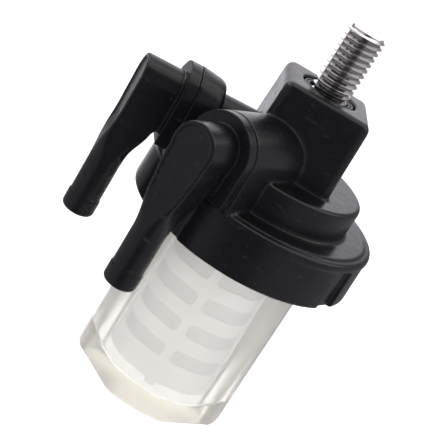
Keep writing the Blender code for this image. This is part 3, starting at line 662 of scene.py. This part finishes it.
def elbow_section(height):
    """Inner and outer face, half-width and corner radius of the elbow's section at a height below
    or above the port axis."""
    flare = blend(height, *FLARE_LEVELS)
    nipple_face = NIPPLE_OFFSET + NIPPLE_RADIUS
    outer = nipple_face + (ELBOW_FACE - nipple_face) * flare
    inner = NIPPLE_OFFSET - NIPPLE_RADIUS - FLARE_DEPTH * flare
    inner -= (inner - COLLAR_THICKNESS + COLLAR_OVERLAP) * blend(height, *JOIN_LEVELS)
    head_width = ELBOW_RADIUS - ELBOW_WAIST
    width = NIPPLE_RADIUS + (head_width - NIPPLE_RADIUS) * blend(height, *TAPER_LEVELS)
    if height > TAPER_LEVELS[1]:
        width = ELBOW_RADIUS - ELBOW_WAIST * blend(-height, 0.0, -TAPER_LEVELS[1])
    if height > 0.0:
        width = math.sqrt(max(ELBOW_RADIUS ** 2 - height ** 2, LEAST_WIDTH ** 2))
    corner = NIPPLE_RADIUS - (NIPPLE_RADIUS - ELBOW_CORNER) * blend(height, *CORNER_LEVELS)
    return inner, outer, width, min(corner, CORNER_SHARE * width)


def lip_width(height, inset):
    """Half-width of the flat face at a height, inside its lip."""
    if height > 0.0:
        return math.sqrt(max((ELBOW_RADIUS - inset) ** 2 - height ** 2, LEAST_LIP ** 2))
    return elbow_section(height)[2] - inset


def elbow_shell(name):
    """Horizontal head and tapering nipple, lofted from level sections. A fine lip runs round the
    head's flat outer face."""
    low = NIPPLE_TIP + NIPPLE_START
    levels = [low + (0.0 - low) * step / 60 for step in range(61)]
    levels += [ELBOW_RADIUS * math.sin(math.radians(4.5 * step)) for step in range(1, 21)]
    levels += [ELBOW_RADIUS - LIP_WIDTH, ELBOW_RADIUS - LIP_WIDTH - LIP_SLOPE]
    rows = []
    for height in sorted(levels):
        inner, outer, width, corner = elbow_section(height)
        depth = LIP_DEPTH * blend(height, *LIP_LEVELS)
        if height > ELBOW_RADIUS - LIP_WIDTH - LIP_SLOPE / 2:
            depth = 0.0
        edge = min(lip_width(height, LIP_WIDTH), LIP_SHARE * (width - corner))
        floor = min(lip_width(height, LIP_WIDTH + LIP_SLOPE), LIP_SHARE * edge)
        row = [(outer, -edge, height), (outer - depth, -floor, height)]
        row += [(outer - depth, floor, height), (outer, edge, height)]
        for sign_x, sign_y, start in ((1, 1, 0.0), (-1, 1, 90.0), (-1, -1, 180.0), (1, -1, 270.0)):
            x_edge = outer if sign_x > 0 else inner
            centre = (x_edge - sign_x * corner, sign_y * (width - corner))
            row += [(x, y, height) for x, y in arc(centre, corner, start, start + 90.0, 10)]
        rows.append(row)
    return lofted(name, rows)


def hose_elbow(name, angle):
    """Hose elbow in its port's frame, its origin at the middle of the joint face."""
    elbow = elbow_shell(name)
    outlines = [arch_outline(x, COLLAR_HALF_WIDTH, COLLAR_DROP) for x in (0.0, COLLAR_THICKNESS)]
    combine(elbow, lofted("collar", outlines), "UNION")
    tip = [(0.0, NIPPLE_TIP)]
    tip += arc((TIP_RING_RADIUS - TIP_EDGE, NIPPLE_TIP + TIP_EDGE), TIP_EDGE, -90.0, 0.0, 10)
    tip += [(TIP_RING_RADIUS, TIP_RING_TOP), (NIPPLE_RADIUS - TIP_RING_SLOPE, TIP_RING_TOP)]
    tip += [(0.0, TIP_RING_TOP)]
    ring = turned("tip", tip, FINE)
    ring.location = (NIPPLE_OFFSET, 0.0, 0.0)
    combine(elbow, ring, "UNION")
    plug = cylinder("plug", SOCKET_RADIUS - GAP, (GAP - SOCKET_DEPTH, 0, 0), (PLUG_SUNK, 0, 0))
    combine(elbow, plug, "UNION")
    bore_end = (NIPPLE_OFFSET + NIPPLE_BORE, 0, 0)
    bore = cylinder("bore", PASSAGE_RADIUS, (-SOCKET_DEPTH - OVERRUN, 0, 0), bore_end)
    combine(elbow, bore, "DIFFERENCE")
    drop_low = (NIPPLE_OFFSET, 0, NIPPLE_TIP - OVERRUN)
    combine(elbow, cylinder("bore", NIPPLE_BORE, drop_low, (NIPPLE_OFFSET, 0, 0)), "DIFFERENCE")
    elbow.data.transform(port_frame(angle) @ Matrix.Translation((PORT_FACE + SEAM, 0.0, 0.0)))
    return soften(elbow, *ELBOW_FINISH)


# ---------------------------------------------------------------- stud and its washer


def stud():
    """M8 stud with rolled thread and its moulded-in hexagonal head."""
    across = [(-STUD_CREST_HALF, STUD_RADIUS), (STUD_CREST_HALF, STUD_RADIUS)]
    across += [(STUD_ROOT_HALF, STUD_ROOT), (STUD_PITCH / 2, STUD_ROOT - STUD_ROOT_DIP)]
    across += [(STUD_PITCH - STUD_ROOT_HALF, STUD_ROOT)]
    rod = threaded_rod("stud", across, STUD_PITCH, STUD_THREAD_LOW, STUD_TOP, FINE)
    head_top = STUD_HEAD_LOW + STUD_HEAD_HEIGHT
    outside = STUD_RADIUS + STUD_CLEAR
    point = STUD_ROOT + STUD_TIP_STEP
    envelope = [(0.0, STUD_THREAD_LOW), (outside, STUD_THREAD_LOW)]
    envelope += [(outside, STUD_TOP - STUD_CHAMFER), (point, STUD_TOP - STUD_TIP_LOW)]
    envelope += [(0.0, STUD_TOP - STUD_TIP_LOW)]
    combine(rod, turned("envelope", envelope, FINE), "INTERSECT")
    corner = (point - TRIM - STUD_TIP_ROUND, STUD_TOP - STUD_TIP_ROUND)
    tip = [(0.0, STUD_TOP - STUD_POINT), (point - TRIM, STUD_TOP - STUD_POINT)]
    tip += arc(corner, STUD_TIP_ROUND, 0.0, 90.0, 6)
    tip += [(0.0, STUD_TOP)]
    combine(rod, turned("tip", tip, FINE), "UNION")
    combine(rod, hexagon("hex", STUD_HEAD_FLATS, STUD_HEAD_LOW, head_top), "UNION")
    low = (0, 0, head_top - SHANK_LAPS[0])
    high = (0, 0, STUD_THREAD_LOW + SHANK_LAPS[1])
    combine(rod, cylinder("shank", STUD_RADIUS + SHANK_PROUD, low, high, FINE), "UNION")
    return sharpen(rod, 25.0)


def washer():
    """Rubber sealing ring with a rounded lip at each edge and a shallow groove between them."""
    inner = STUD_RADIUS + GAP
    outer = COUNTERBORE_RADIUS - GAP
    low = washer_low.z
    lip = (outer - inner) / 4
    top = washer_high.z - lip
    profile = [(inner, low), (outer, low)]
    profile += arc((outer - lip, top), lip, 0.0, 160.0, 14)
    profile += arc((inner + lip, top), lip, 20.0, 180.0, 14)
    return sharpen(turned("washer", profile, MEDIUM, loop=True), 40.0)


# ---------------------------------------------------------------- bowl


def bowl_neck():
    """Threaded neck and shoulder above the bowl's wall."""
    across = [(-NECK_CREST_HALF, NECK_CREST), (NECK_CREST_HALF, NECK_CREST)]
    across += [(NECK_ROOT_HALF, NECK_ROOT), (NECK_PITCH - NECK_ROOT_HALF, NECK_ROOT)]
    rod = threaded_rod("bowl_clear", across, NECK_PITCH, SHOULDER_LOW, NECK_TOP, THREADED)
    crest = NECK_CREST + TRIM
    profile = [(0.0, SHOULDER_LOW), (BOWL_RADIUS_TOP - SHOULDER_RUN, SHOULDER_LOW)]
    profile += [(NECK_CORE, SHOULDER_LOW + SHOULDER_RISE), (NECK_CORE, THREAD_LOW)]
    profile += [(crest, THREAD_LOW + THREAD_RUNOUT), (crest, THREAD_HIGH - THREAD_RUNOUT)]
    profile += [(NECK_CORE, THREAD_HIGH), (NECK_CORE, NECK_TOP), (0.0, NECK_TOP)]
    return combine(rod, turned("envelope", profile, THREADED), "INTERSECT")


def wall_reach(radius, angle):
    """Outline of the bowl's wall at an angle in degrees: a circle with four flats."""
    from_flat = (angle - BOWL_FLAT_TURN + 45.0) % 90.0 - 45.0
    return min(radius, BOWL_FLAT / math.cos(math.radians(from_flat)))


def wall_row(radius, inset, level):
    """Points round the bowl's wall at one level."""
    row = []
    for step in range(ROUND):
        angle = 360.0 * step / ROUND
        reach = wall_reach(radius, angle) - inset
        turn = math.radians(angle)
        row.append((reach * math.cos(turn), reach * math.sin(turn), level))
    return row


def bowl_wall():
    """Round wall with four flats, and a rounded lower edge."""
    rows = []
    for step in range(BOWL_EDGE_STEPS + 1):
        turn = math.radians(90.0 / BOWL_EDGE_STEPS * step)
        inset = BOWL_EDGE - BOWL_EDGE * math.sin(turn)
        level = BOWL_EDGE - BOWL_EDGE * math.cos(turn)
        rows.append(wall_row(BOWL_RADIUS, inset, level))
    rows.append(wall_row(BOWL_RADIUS_TOP, 0.0, SHOULDER_LOW + WALL_LAP))
    return lofted("wall", rows)


def bowl():
    """Clear sediment bowl: round wall with four flats, flat floor and threaded neck."""
    cup = bowl_neck()
    combine(cup, bowl_wall(), "UNION")
    hollow = [(0.0, BOWL_FLOOR)]
    corner = (BOWL_INNER_LOW - BOWL_INNER_ROUND, BOWL_FLOOR + BOWL_INNER_ROUND)
    hollow += arc(corner, BOWL_INNER_ROUND, -90.0, 0.0, 12)
    hollow += [(BOWL_INNER, SHOULDER_LOW + NECK_FLARE_LEVELS[0])]
    hollow += [(NECK_INNER, SHOULDER_LOW + NECK_FLARE_LEVELS[1])]
    hollow += [(NECK_INNER, NECK_TOP + OVERRUN), (0.0, NECK_TOP + OVERRUN)]
    combine(cup, turned("hollow", hollow), "DIFFERENCE")
    half = SEAL_SECTION + GAP
    low = NECK_TOP - SEAL_GROOVE
    high = NECK_TOP + OVERRUN
    groove = [(SEAL_RADIUS - half, low), (SEAL_RADIUS + half, low)]
    groove += [(SEAL_RADIUS + half, high), (SEAL_RADIUS - half, high)]
    combine(cup, turned("groove", groove, loop=True), "DIFFERENCE")
    return sharpen(cup, 28.0)


def o_ring(name, radius, section, height):
    """A round-section seal about the axis."""
    profile = arc((radius, height), section, 0.0, 348.0, 29)
    return sharpen(turned(name, profile, MEDIUM, loop=True), 80.0)


# ---------------------------------------------------------------- strainer element


def window_cutter(middle, low):
    """A rounded window through the cage's wall, as a curved block."""
    half_angle = (360.0 / RIB_COUNT - RIB_ANGLE) / 2
    half_height = WINDOW_HEIGHT / 2
    half_width = math.radians(half_angle) * CAGE_OUTER
    outline = []
    for quarter, (sx, sz) in enumerate(((1, 1), (-1, 1), (-1, -1), (1, -1))):
        centre = (sx * (half_width - WINDOW_CORNER), sz * (half_height - WINDOW_CORNER))
        corner = arc(centre, WINDOW_CORNER, 90.0 * quarter, 90.0 * quarter + 90.0, 6)
        outline += corner
        if quarter in (0, 2):
            start = corner[-1]
            span = -2 * sx * (half_width - WINDOW_CORNER)
            for step in range(1, WINDOW_EDGE_STEPS):
                outline.append((start[0] + span * step / WINDOW_EDGE_STEPS, start[1]))
    rows = []
    for radius in (CAGE_INNER - OVERRUN, CAGE_OUTER + OVERRUN):
        row = []
        for across, rise in outline:
            turn = math.radians(middle) + across / CAGE_OUTER
            level = low + half_height + rise
            row.append((radius * math.cos(turn), radius * math.sin(turn), level))
        rows.append(row)
    return lofted("window", rows)


def cage():
    """Strainer cage: wall with rows of windows, closed floor and feet."""
    floor_top = CAGE_LOW + FLOOR_THICKNESS
    wall = [(0.0, CAGE_LOW), (CAGE_OUTER - CAGE_EDGE, CAGE_LOW)]
    wall += [(CAGE_OUTER, CAGE_LOW + CAGE_EDGE), (CAGE_OUTER, CAGE_TOP - CAGE_EDGE)]
    wall += [(CAGE_OUTER - CAGE_EDGE, CAGE_TOP), (CAGE_INNER, CAGE_TOP)]
    wall += [(CAGE_INNER, floor_top), (0.0, floor_top)]
    body = turned("cage", wall)
    for row in range(WINDOW_ROWS):
        low = WINDOW_LOW + row * WINDOW_SPACING
        for rib in range(RIB_COUNT):
            middle = RIB_TURN + (rib + 0.5) * 360.0 / RIB_COUNT
            combine(body, window_cutter(middle, low), "DIFFERENCE")
    foot_low = CAGE_LOW - FOOT_HEIGHT
    foot_high = CAGE_LOW + FOOT_LAP
    for foot in range(FOOT_COUNT):
        middle = RIB_TURN + foot * 360.0 / FOOT_COUNT
        peg = sector("foot", FOOT_INNER, FOOT_OUTER, middle, FOOT_ANGLE, foot_low, foot_high)
        combine(body, peg, "UNION")
    return soften(body, *CAGE_FINISH)


def sleeve():
    """Mesh sleeve, its edges held in the middle of the cage's wall."""
    outer = CAGE_OUTER - MESH_DEPTH
    inner = outer - MESH_THICKNESS
    profile = [(inner, sleeve_low.z), (outer, sleeve_low.z)]
    profile += [(outer, sleeve_high.z), (inner, sleeve_high.z)]
    return sharpen(turned("sleeve", profile, loop=True), 40.0)


def top_cap():
    """Cap on the cage, with the hub that pushes over the head's spigot and holds a seal."""
    bore = SPIGOT_RADIUS + GAP
    half = ELEMENT_SEAL_SECTION + GAP
    seat = bore + 2 * ELEMENT_SEAL_SECTION + CAP_SEAT_ROOM
    low = cap_low.z
    deck = low + CAP_THICKNESS
    top = cap_high.z
    edge = CAP_EDGE
    profile = [(bore, low), (CAGE_OUTER, low)]
    profile += arc((CAGE_OUTER - edge, deck - edge), edge, 0.0, 90.0, 6)
    profile += arc((CAP_HUB_OUTER + edge, deck + edge), edge, 270.0, 180.0, 6)
    profile += arc((CAP_HUB_OUTER - edge, top - edge), edge, 0.0, 90.0, 6)
    profile += [(bore + edge, top), (bore, top - edge)]
    profile += [(bore, ELEMENT_SEAL_Z + half), (seat, ELEMENT_SEAL_Z + half)]
    profile += [(seat, ELEMENT_SEAL_Z - half), (bore, ELEMENT_SEAL_Z - half)]
    return sharpen(turned("top_cap", profile, loop=True), 35.0)


def element_seal():
    """The seal between the cap's hub and the spigot."""
    radius = SPIGOT_RADIUS + GAP + ELEMENT_SEAL_SECTION
    return o_ring("element_seal", radius, ELEMENT_SEAL_SECTION, ELEMENT_SEAL_Z)


def bowl_seal():
    """The seal in the groove at the top of the bowl's neck."""
    height = NECK_TOP - SEAL_GROOVE + GAP + SEAL_SECTION
    return o_ring("bowl_seal_ring", SEAL_RADIUS, SEAL_SECTION, height)


# ---------------------------------------------------------------- materials


class Nodes:
    """Short calls for building one material's node tree."""

    def __init__(self, name):
        self.material = bpy.data.materials.new(name)
        self.material.use_nodes = True
        self.tree = self.material.node_tree
        self.shader = self.tree.nodes["Principled BSDF"]
        self.output = self.tree.nodes["Material Output"]
        self.place = self.tree.nodes.new("ShaderNodeTexCoord").outputs["Object"]

    def add(self, kind, inputs=None, **settings):
        node = self.tree.nodes.new(kind)
        for key, value in settings.items():
            setattr(node, key, value)
        for key, value in (inputs or {}).items():
            self.feed(node.inputs[key], value)
        return node

    def feed(self, socket, value):
        if isinstance(value, bpy.types.NodeSocket):
            self.tree.links.new(value, socket)
        else:
            socket.default_value = value

    def noise(self, scale, detail=4.0, roughness=0.55, place=None, distortion=0.0):
        inputs = {"Vector": place or self.place, "Scale": scale, "Detail": detail}
        inputs.update({"Roughness": roughness, "Distortion": distortion})
        return self.add("ShaderNodeTexNoise", inputs).outputs["Fac"]

    def spread(self, value, low, high, to_low, to_high):
        inputs = {0: value, 1: low, 2: high, 3: to_low, 4: to_high}
        return self.add("ShaderNodeMapRange", inputs).outputs[0]

    def maths(self, operation, first, second=0.0):
        return self.add("ShaderNodeMath", {0: first, 1: second}, operation=operation).outputs[0]

    def mix(self, share, first, second):
        node = self.add("ShaderNodeMix", data_type="RGBA")
        self.feed(node.inputs[0], share)
        self.feed(node.inputs[6], first)
        self.feed(node.inputs[7], second)
        return node.outputs[2]

    def stretch(self, scale):
        inputs = {"Vector": self.place, "Scale": scale}
        return self.add("ShaderNodeMapping", inputs).outputs["Vector"]

    def bump(self, height, strength, distance, below=None):
        inputs = {"Height": height, "Strength": strength, "Distance": distance}
        if below is not None:
            inputs["Normal"] = below
        return self.add("ShaderNodeBump", inputs).outputs["Normal"]

    def set(self, **values):
        for key, value in values.items():
            self.feed(self.shader.inputs[key.replace("_", " ")], value)


def black_plastic(name, seed):
    """Satin black moulded plastic: fine grain, flow clouds, faint scuffs and dust in the grain."""
    n = Nodes(name)
    shifted = n.add("ShaderNodeMapping", {"Vector": n.place, "Location": (seed, seed * 2, 0.0)})
    place = shifted.outputs["Vector"]
    cloud = n.noise(160.0, 3.0, 0.5, place)
    grain = n.noise(5200.0, 3.0, 0.6, place)
    swirl = n.noise(420.0, 5.0, 0.6, place, 1.2)
    scuff_place = n.add("ShaderNodeMapping", {"Vector": place, "Scale": (240.0, 2400.0, 700.0)})
    scuff = n.noise(1.0, 2.0, 0.5, scuff_place.outputs["Vector"])
    scuffs = n.spread(scuff, 0.66, 0.74, 0.0, 1.0)
    dust = n.spread(n.noise(2600.0, 1.0, 0.4, place), 0.70, 0.78, 0.0, 1.0)
    colour = n.mix(cloud, PLASTIC_DEEP, PLASTIC_PALE)
    colour = n.mix(n.maths("MULTIPLY", scuffs, 0.25), colour, PLASTIC_SCUFF)
    colour = n.mix(n.maths("MULTIPLY", dust, 0.18), colour, PLASTIC_DUST)
    rough = n.spread(swirl, NOISE_LOW, NOISE_HIGH, 0.20, 0.31)
    rough = n.maths("ADD", rough, n.maths("MULTIPLY", scuffs, 0.10))
    rough = n.maths("ADD", rough, n.maths("MULTIPLY", grain, 0.05))
    relief = n.bump(n.noise(900.0, 3.0, 0.5, place), 0.07, 0.04 * MM)
    relief = n.bump(grain, 0.12, 0.010 * MM, relief)
    n.set(Base_Color=colour, Roughness=rough, Normal=relief, Specular_IOR_Level=0.26, IOR=1.5)
    return n.material


def stainless():
    """Bright stainless steel: fine lines along the turns, a few stains, and painted shade that
    darkens the thread roots.
    """
    n = Nodes("stainless_steel")
    lines = n.noise(1.0, 3.0, 0.6, n.stretch((900.0, 900.0, 9000.0)))
    spots = n.noise(1500.0, 4.0, 0.6)
    cloud = n.noise(260.0, 3.0, 0.5)
    colour = n.mix(cloud, STEEL_DULL, STEEL_BRIGHT)
    stain = n.spread(spots, 0.62, 0.78, 0.0, 0.4)
    colour = n.mix(stain, colour, STEEL_STAIN)
    flat = n.add("ShaderNodeVectorMath", {0: n.place, 1: (1.0, 1.0, 0.0)}, operation="MULTIPLY")
    reach = n.add("ShaderNodeVectorMath", {0: flat.outputs[0]}, operation="LENGTH").outputs["Value"]
    # Painted shade: the base colour goes dark near the thread roots, standing in for the shade in
    # them; the top end is left out.
    root_shade = n.spread(reach, STUD_ROOT + 0.02 * MM, STUD_ROOT + 0.16 * MM, 0.75, 0.0)
    height = n.add("ShaderNodeSeparateXYZ", {0: n.place}).outputs["Z"]
    below_end = n.spread(height, STUD_TOP - 0.2 * MM, STUD_TOP - 0.1 * MM, 1.0, 0.0)
    colour = n.mix(n.maths("MULTIPLY", root_shade, below_end), colour, STEEL_ROOT_SHADE)
    rough = n.spread(lines, NOISE_LOW, NOISE_HIGH, 0.10, 0.20)
    rough = n.maths("ADD", rough, n.maths("MULTIPLY", stain, 0.2))
    relief = n.bump(lines, 0.10, 0.006 * MM)
    relief = n.bump(spots, 0.08, 0.006 * MM, relief)
    n.set(Base_Color=colour, Roughness=rough, Normal=relief, Metallic=1.0)
    return n.material


def black_rubber():
    """Smooth moulded rubber with a slight bloom."""
    n = Nodes("black_rubber")
    bloom = n.noise(700.0, 4.0, 0.6)
    grain = n.noise(6000.0, 2.0, 0.5)
    colour = n.mix(bloom, RUBBER_DEEP, RUBBER_BLOOM)
    rough = n.spread(bloom, NOISE_LOW, NOISE_HIGH, 0.28, 0.46)
    relief = n.bump(grain, 0.2, 0.01 * MM)
    n.set(Base_Color=colour, Roughness=rough, Normal=relief, Specular_IOR_Level=0.35)
    return n.material


def clear_plastic():
    """Clear moulded plastic, faintly yellow through its thickness, with flow haze and scuffs."""
    n = Nodes("clear_plastic")
    flow = n.noise(1.0, 3.0, 0.5, n.stretch((120.0, 120.0, 40.0)), 0.8)
    haze = n.noise(900.0, 4.0, 0.6)
    scuff = n.noise(1.0, 2.0, 0.5, n.stretch((2600.0, 2600.0, 220.0)))
    scuffs = n.spread(scuff, 0.66, 0.76, 0.0, 1.0)
    colour = n.mix(flow, CLEAR_DEEP, CLEAR_PALE)
    rough = n.spread(haze, NOISE_LOW, NOISE_HIGH, 0.10, 0.17)
    rough = n.maths("ADD", rough, n.maths("MULTIPLY", scuffs, 0.08))
    relief = n.bump(flow, 0.10, 0.10 * MM)
    relief = n.bump(scuffs, 0.05, 0.006 * MM, relief)
    n.set(Base_Color=colour, Roughness=rough, Normal=relief, IOR=1.49, Transmission_Weight=0.8)
    inputs = {"Color": CLEAR_DEPTH_COLOUR, "Density": CLEAR_DEPTH_DENSITY}
    depth = n.add("ShaderNodeVolumeAbsorption", inputs)
    n.tree.links.new(depth.outputs["Volume"], n.output.inputs["Volume"])
    return n.material


def white_nylon():
    """Milky moulded nylon: soft, a little uneven, with fine grain."""
    n = Nodes("white_nylon")
    cloud = n.noise(300.0, 4.0, 0.55)
    grain = n.noise(4200.0, 3.0, 0.5)
    flecks = n.spread(n.noise(1800.0, 1.0, 0.5), 0.70, 0.80, 0.0, 0.3)
    colour = n.mix(cloud, NYLON_DEEP, NYLON_PALE)
    colour = n.mix(flecks, colour, NYLON_FLECK)
    rough = n.spread(cloud, NOISE_LOW, NOISE_HIGH, 0.36, 0.50)
    relief = n.bump(n.noise(800.0, 3.0), 0.10, 0.05 * MM)
    relief = n.bump(grain, 0.18, 0.012 * MM, relief)
    n.set(Base_Color=colour, Roughness=rough, Normal=relief, Subsurface_Weight=0.25)
    n.set(Subsurface_Scale=0.8 * MM, Subsurface_Radius=(1.0, 0.9, 0.8))
    return n.material


def strainer_mesh():
    """Fine woven nylon mesh, drawn round the sleeve from the angle and the height, with painted
    shade in the gaps between the wires.
    """
    n = Nodes("strainer_mesh")
    parts = n.add("ShaderNodeSeparateXYZ", {"Vector": n.place})
    angle = n.maths("ARCTAN2", parts.outputs["Y"], parts.outputs["X"])
    round_wires = n.maths("MULTIPLY", angle, WEAVE_WIRES / 2)
    up_wires = n.maths("MULTIPLY", parts.outputs["Z"], math.pi / WEAVE_PITCH)
    warp = n.maths("POWER", n.maths("ABSOLUTE", n.maths("SINE", round_wires)), 0.7)
    weft = n.maths("POWER", n.maths("ABSOLUTE", n.maths("SINE", up_wires)), 0.7)
    over = n.maths("MULTIPLY", n.maths("SINE", round_wires), n.maths("SINE", up_wires))
    wires = n.maths("MAXIMUM", warp, weft)
    height = n.maths("ADD", wires, n.maths("MULTIPLY", over, 0.35))
    cloud = n.noise(240.0, 4.0, 0.6)
    thread = n.mix(cloud, WEAVE_DEEP, WEAVE_PALE)
    # Painted shade: the gaps between the wires are coloured darker, for the shaded inside of the
    # element seen through them.
    gap_shade = n.spread(wires, 0.25, 0.75, 1.0, 0.0)
    colour = n.mix(n.maths("MULTIPLY", gap_shade, 0.7), thread, WEAVE_GAP_SHADE)
    rough = n.spread(cloud, NOISE_LOW, NOISE_HIGH, 0.5, 0.65)
    relief = n.bump(height, 0.5, 0.04 * MM)
    n.set(Base_Color=colour, Roughness=rough, Normal=relief)
    return n.material


def floor_material():
    """Pale studio paper, with a glow of its own that keeps it even and white."""
    n = Nodes("studio_floor")
    fibre = n.noise(900.0, 4.0, 0.6)
    colour = n.mix(fibre, FLOOR_DEEP, FLOOR_PALE)
    n.set(Base_Color=colour, Roughness=0.9, Normal=n.bump(fibre, 0.05, 0.02 * MM))
    n.set(Emission_Color=FLOOR_GLOW_COLOUR, Emission_Strength=FLOOR_GLOW)
    return n.material


# ---------------------------------------------------------------- studio


def photo_camera():
    """The photograph's camera: its direction, its roll, and where it aims."""
    azimuth = math.radians(CAMERA_AZIMUTH)
    elevation = math.radians(CAMERA_ELEVATION)
    roll = math.radians(CAMERA_ROLL)
    flat = math.cos(elevation)
    forward = Vector((math.sin(azimuth) * flat, math.cos(azimuth) * flat, -math.sin(elevation)))
    level = Vector((math.cos(azimuth), -math.sin(azimuth), 0.0))
    rise = level.cross(forward)
    right = level * math.cos(roll) + rise * math.sin(roll)
    up = rise * math.cos(roll) - level * math.sin(roll)
    data = bpy.data.cameras.new("photo_camera")
    data.lens = CAMERA_LENS
    data.sensor_width = CAMERA_SENSOR
    data.clip_start = CAMERA_CLIP[0]
    data.clip_end = CAMERA_CLIP[1]
    camera = bpy.data.objects.new("photo_camera", data)
    place = Vector(CAMERA_AIM) - forward * CAMERA_DISTANCE
    turn = Matrix((right, up, -forward)).transposed().to_4x4()
    camera.matrix_world = Matrix.Translation(place) @ turn
    bpy.context.scene.collection.objects.link(camera)
    bpy.context.scene.camera = camera


def area_light(name, place, aim, size, power, reflected):
    """A soft box at a place, facing its aim."""
    data = bpy.data.lights.new(name, "AREA")
    data.shape = "RECTANGLE"
    data.size, data.size_y = size
    data.energy = power
    lamp = bpy.data.objects.new(name, data)
    lamp.location = place
    lamp.rotation_mode = "QUATERNION"
    lamp.rotation_quaternion = (Vector(place) - Vector(aim)).to_track_quat("Z", "Y")
    lamp.visible_glossy = reflected
    bpy.context.scene.collection.objects.link(lamp)


def world_lean(tree, value):
    """How far a direction leans to either side."""
    node = tree.nodes.new("ShaderNodeMath")
    node.operation = "ABSOLUTE"
    tree.links.new(value, node.inputs[0])
    return node.outputs[0]


def world_fade(tree, value, limits, first, last):
    """A smooth change between two brightnesses of the surround."""
    node = tree.nodes.new("ShaderNodeMapRange")
    node.interpolation_type = "SMOOTHSTEP"
    tree.links.new(value, node.inputs[0])
    for index, level in enumerate((limits[0], limits[1], first, last)):
        if isinstance(level, bpy.types.NodeSocket):
            tree.links.new(level, node.inputs[index + 1])
        else:
            node.inputs[index + 1].default_value = level
    return node.outputs[0]


def studio():
    """Pale floor, a surround that is dark in front and bright behind, soft boxes overhead, and two
    fills that don't show in reflections."""
    world = bpy.data.worlds.new("studio")
    world.use_nodes = True
    tree = world.node_tree
    background = tree.nodes["Background"]
    background.inputs["Color"].default_value = WORLD_COLOUR
    direction = tree.nodes.new("ShaderNodeTexCoord").outputs["Generated"]
    parts = tree.nodes.new("ShaderNodeSeparateXYZ")
    tree.links.new(direction, parts.inputs[0])
    lean = world_lean(tree, parts.outputs["X"])
    front = world_fade(tree, lean, SIDE_FADE, WORLD_FRONT, WORLD_SIDE)
    back = world_fade(tree, lean, CARD_FADE, WORLD_BACK, WORLD_BACK_SIDE)
    whole = world_fade(tree, parts.outputs["Y"], BACK_FADE, front, back)
    tree.links.new(whole, background.inputs["Strength"])
    bpy.context.scene.world = world
    bpy.context.scene.view_settings.view_transform = "Standard"
    shape = bmesh.new()
    bmesh.ops.create_circle(shape, cap_ends=True, segments=FINE, radius=FLOOR_RADIUS)
    floor = to_object("floor", shape)
    floor.data.materials.append(floor_material())
    floor.location.z = -FLOOR_DROP
    floor.visible_glossy = False
    for name, place, size, power, reflected in LIGHTS:
        area_light(name, place, LIGHT_AIM, size, power, reflected)


# ---------------------------------------------------------------- the filter in its studio


plastic = black_plastic("black_plastic", 0.0)
rubber = black_rubber()
nylon = white_nylon()

dress(filter_head(), plastic, "filter_head", "head")
dress(stud(), stainless(), "mounting_stud", "head")
dress(washer(), rubber, "stud_washer", "head")
for elbow_name, port_angle in (("outlet_elbow", OUTLET_ANGLE), ("inlet_elbow", INLET_ANGLE)):
    elbow = hose_elbow(elbow_name + "_fine", port_angle)
    elbow_plastic = black_plastic(elbow_name + "_plastic", port_angle)
    dress(elbow, elbow_plastic, elbow_name, "head")
dress(cage(), nylon, "element_frame", "head")
dress(sleeve(), strainer_mesh(), "element_mesh", "head")
dress(top_cap(), nylon, "element_top_cap", "head")
dress(element_seal(), rubber, "element_o_ring", "head")
dress(bowl(), clear_plastic(), "bowl", "bowl")
dress(bowl_seal(), rubber, "bowl_o_ring", "bowl_seal")

studio()
photo_camera()
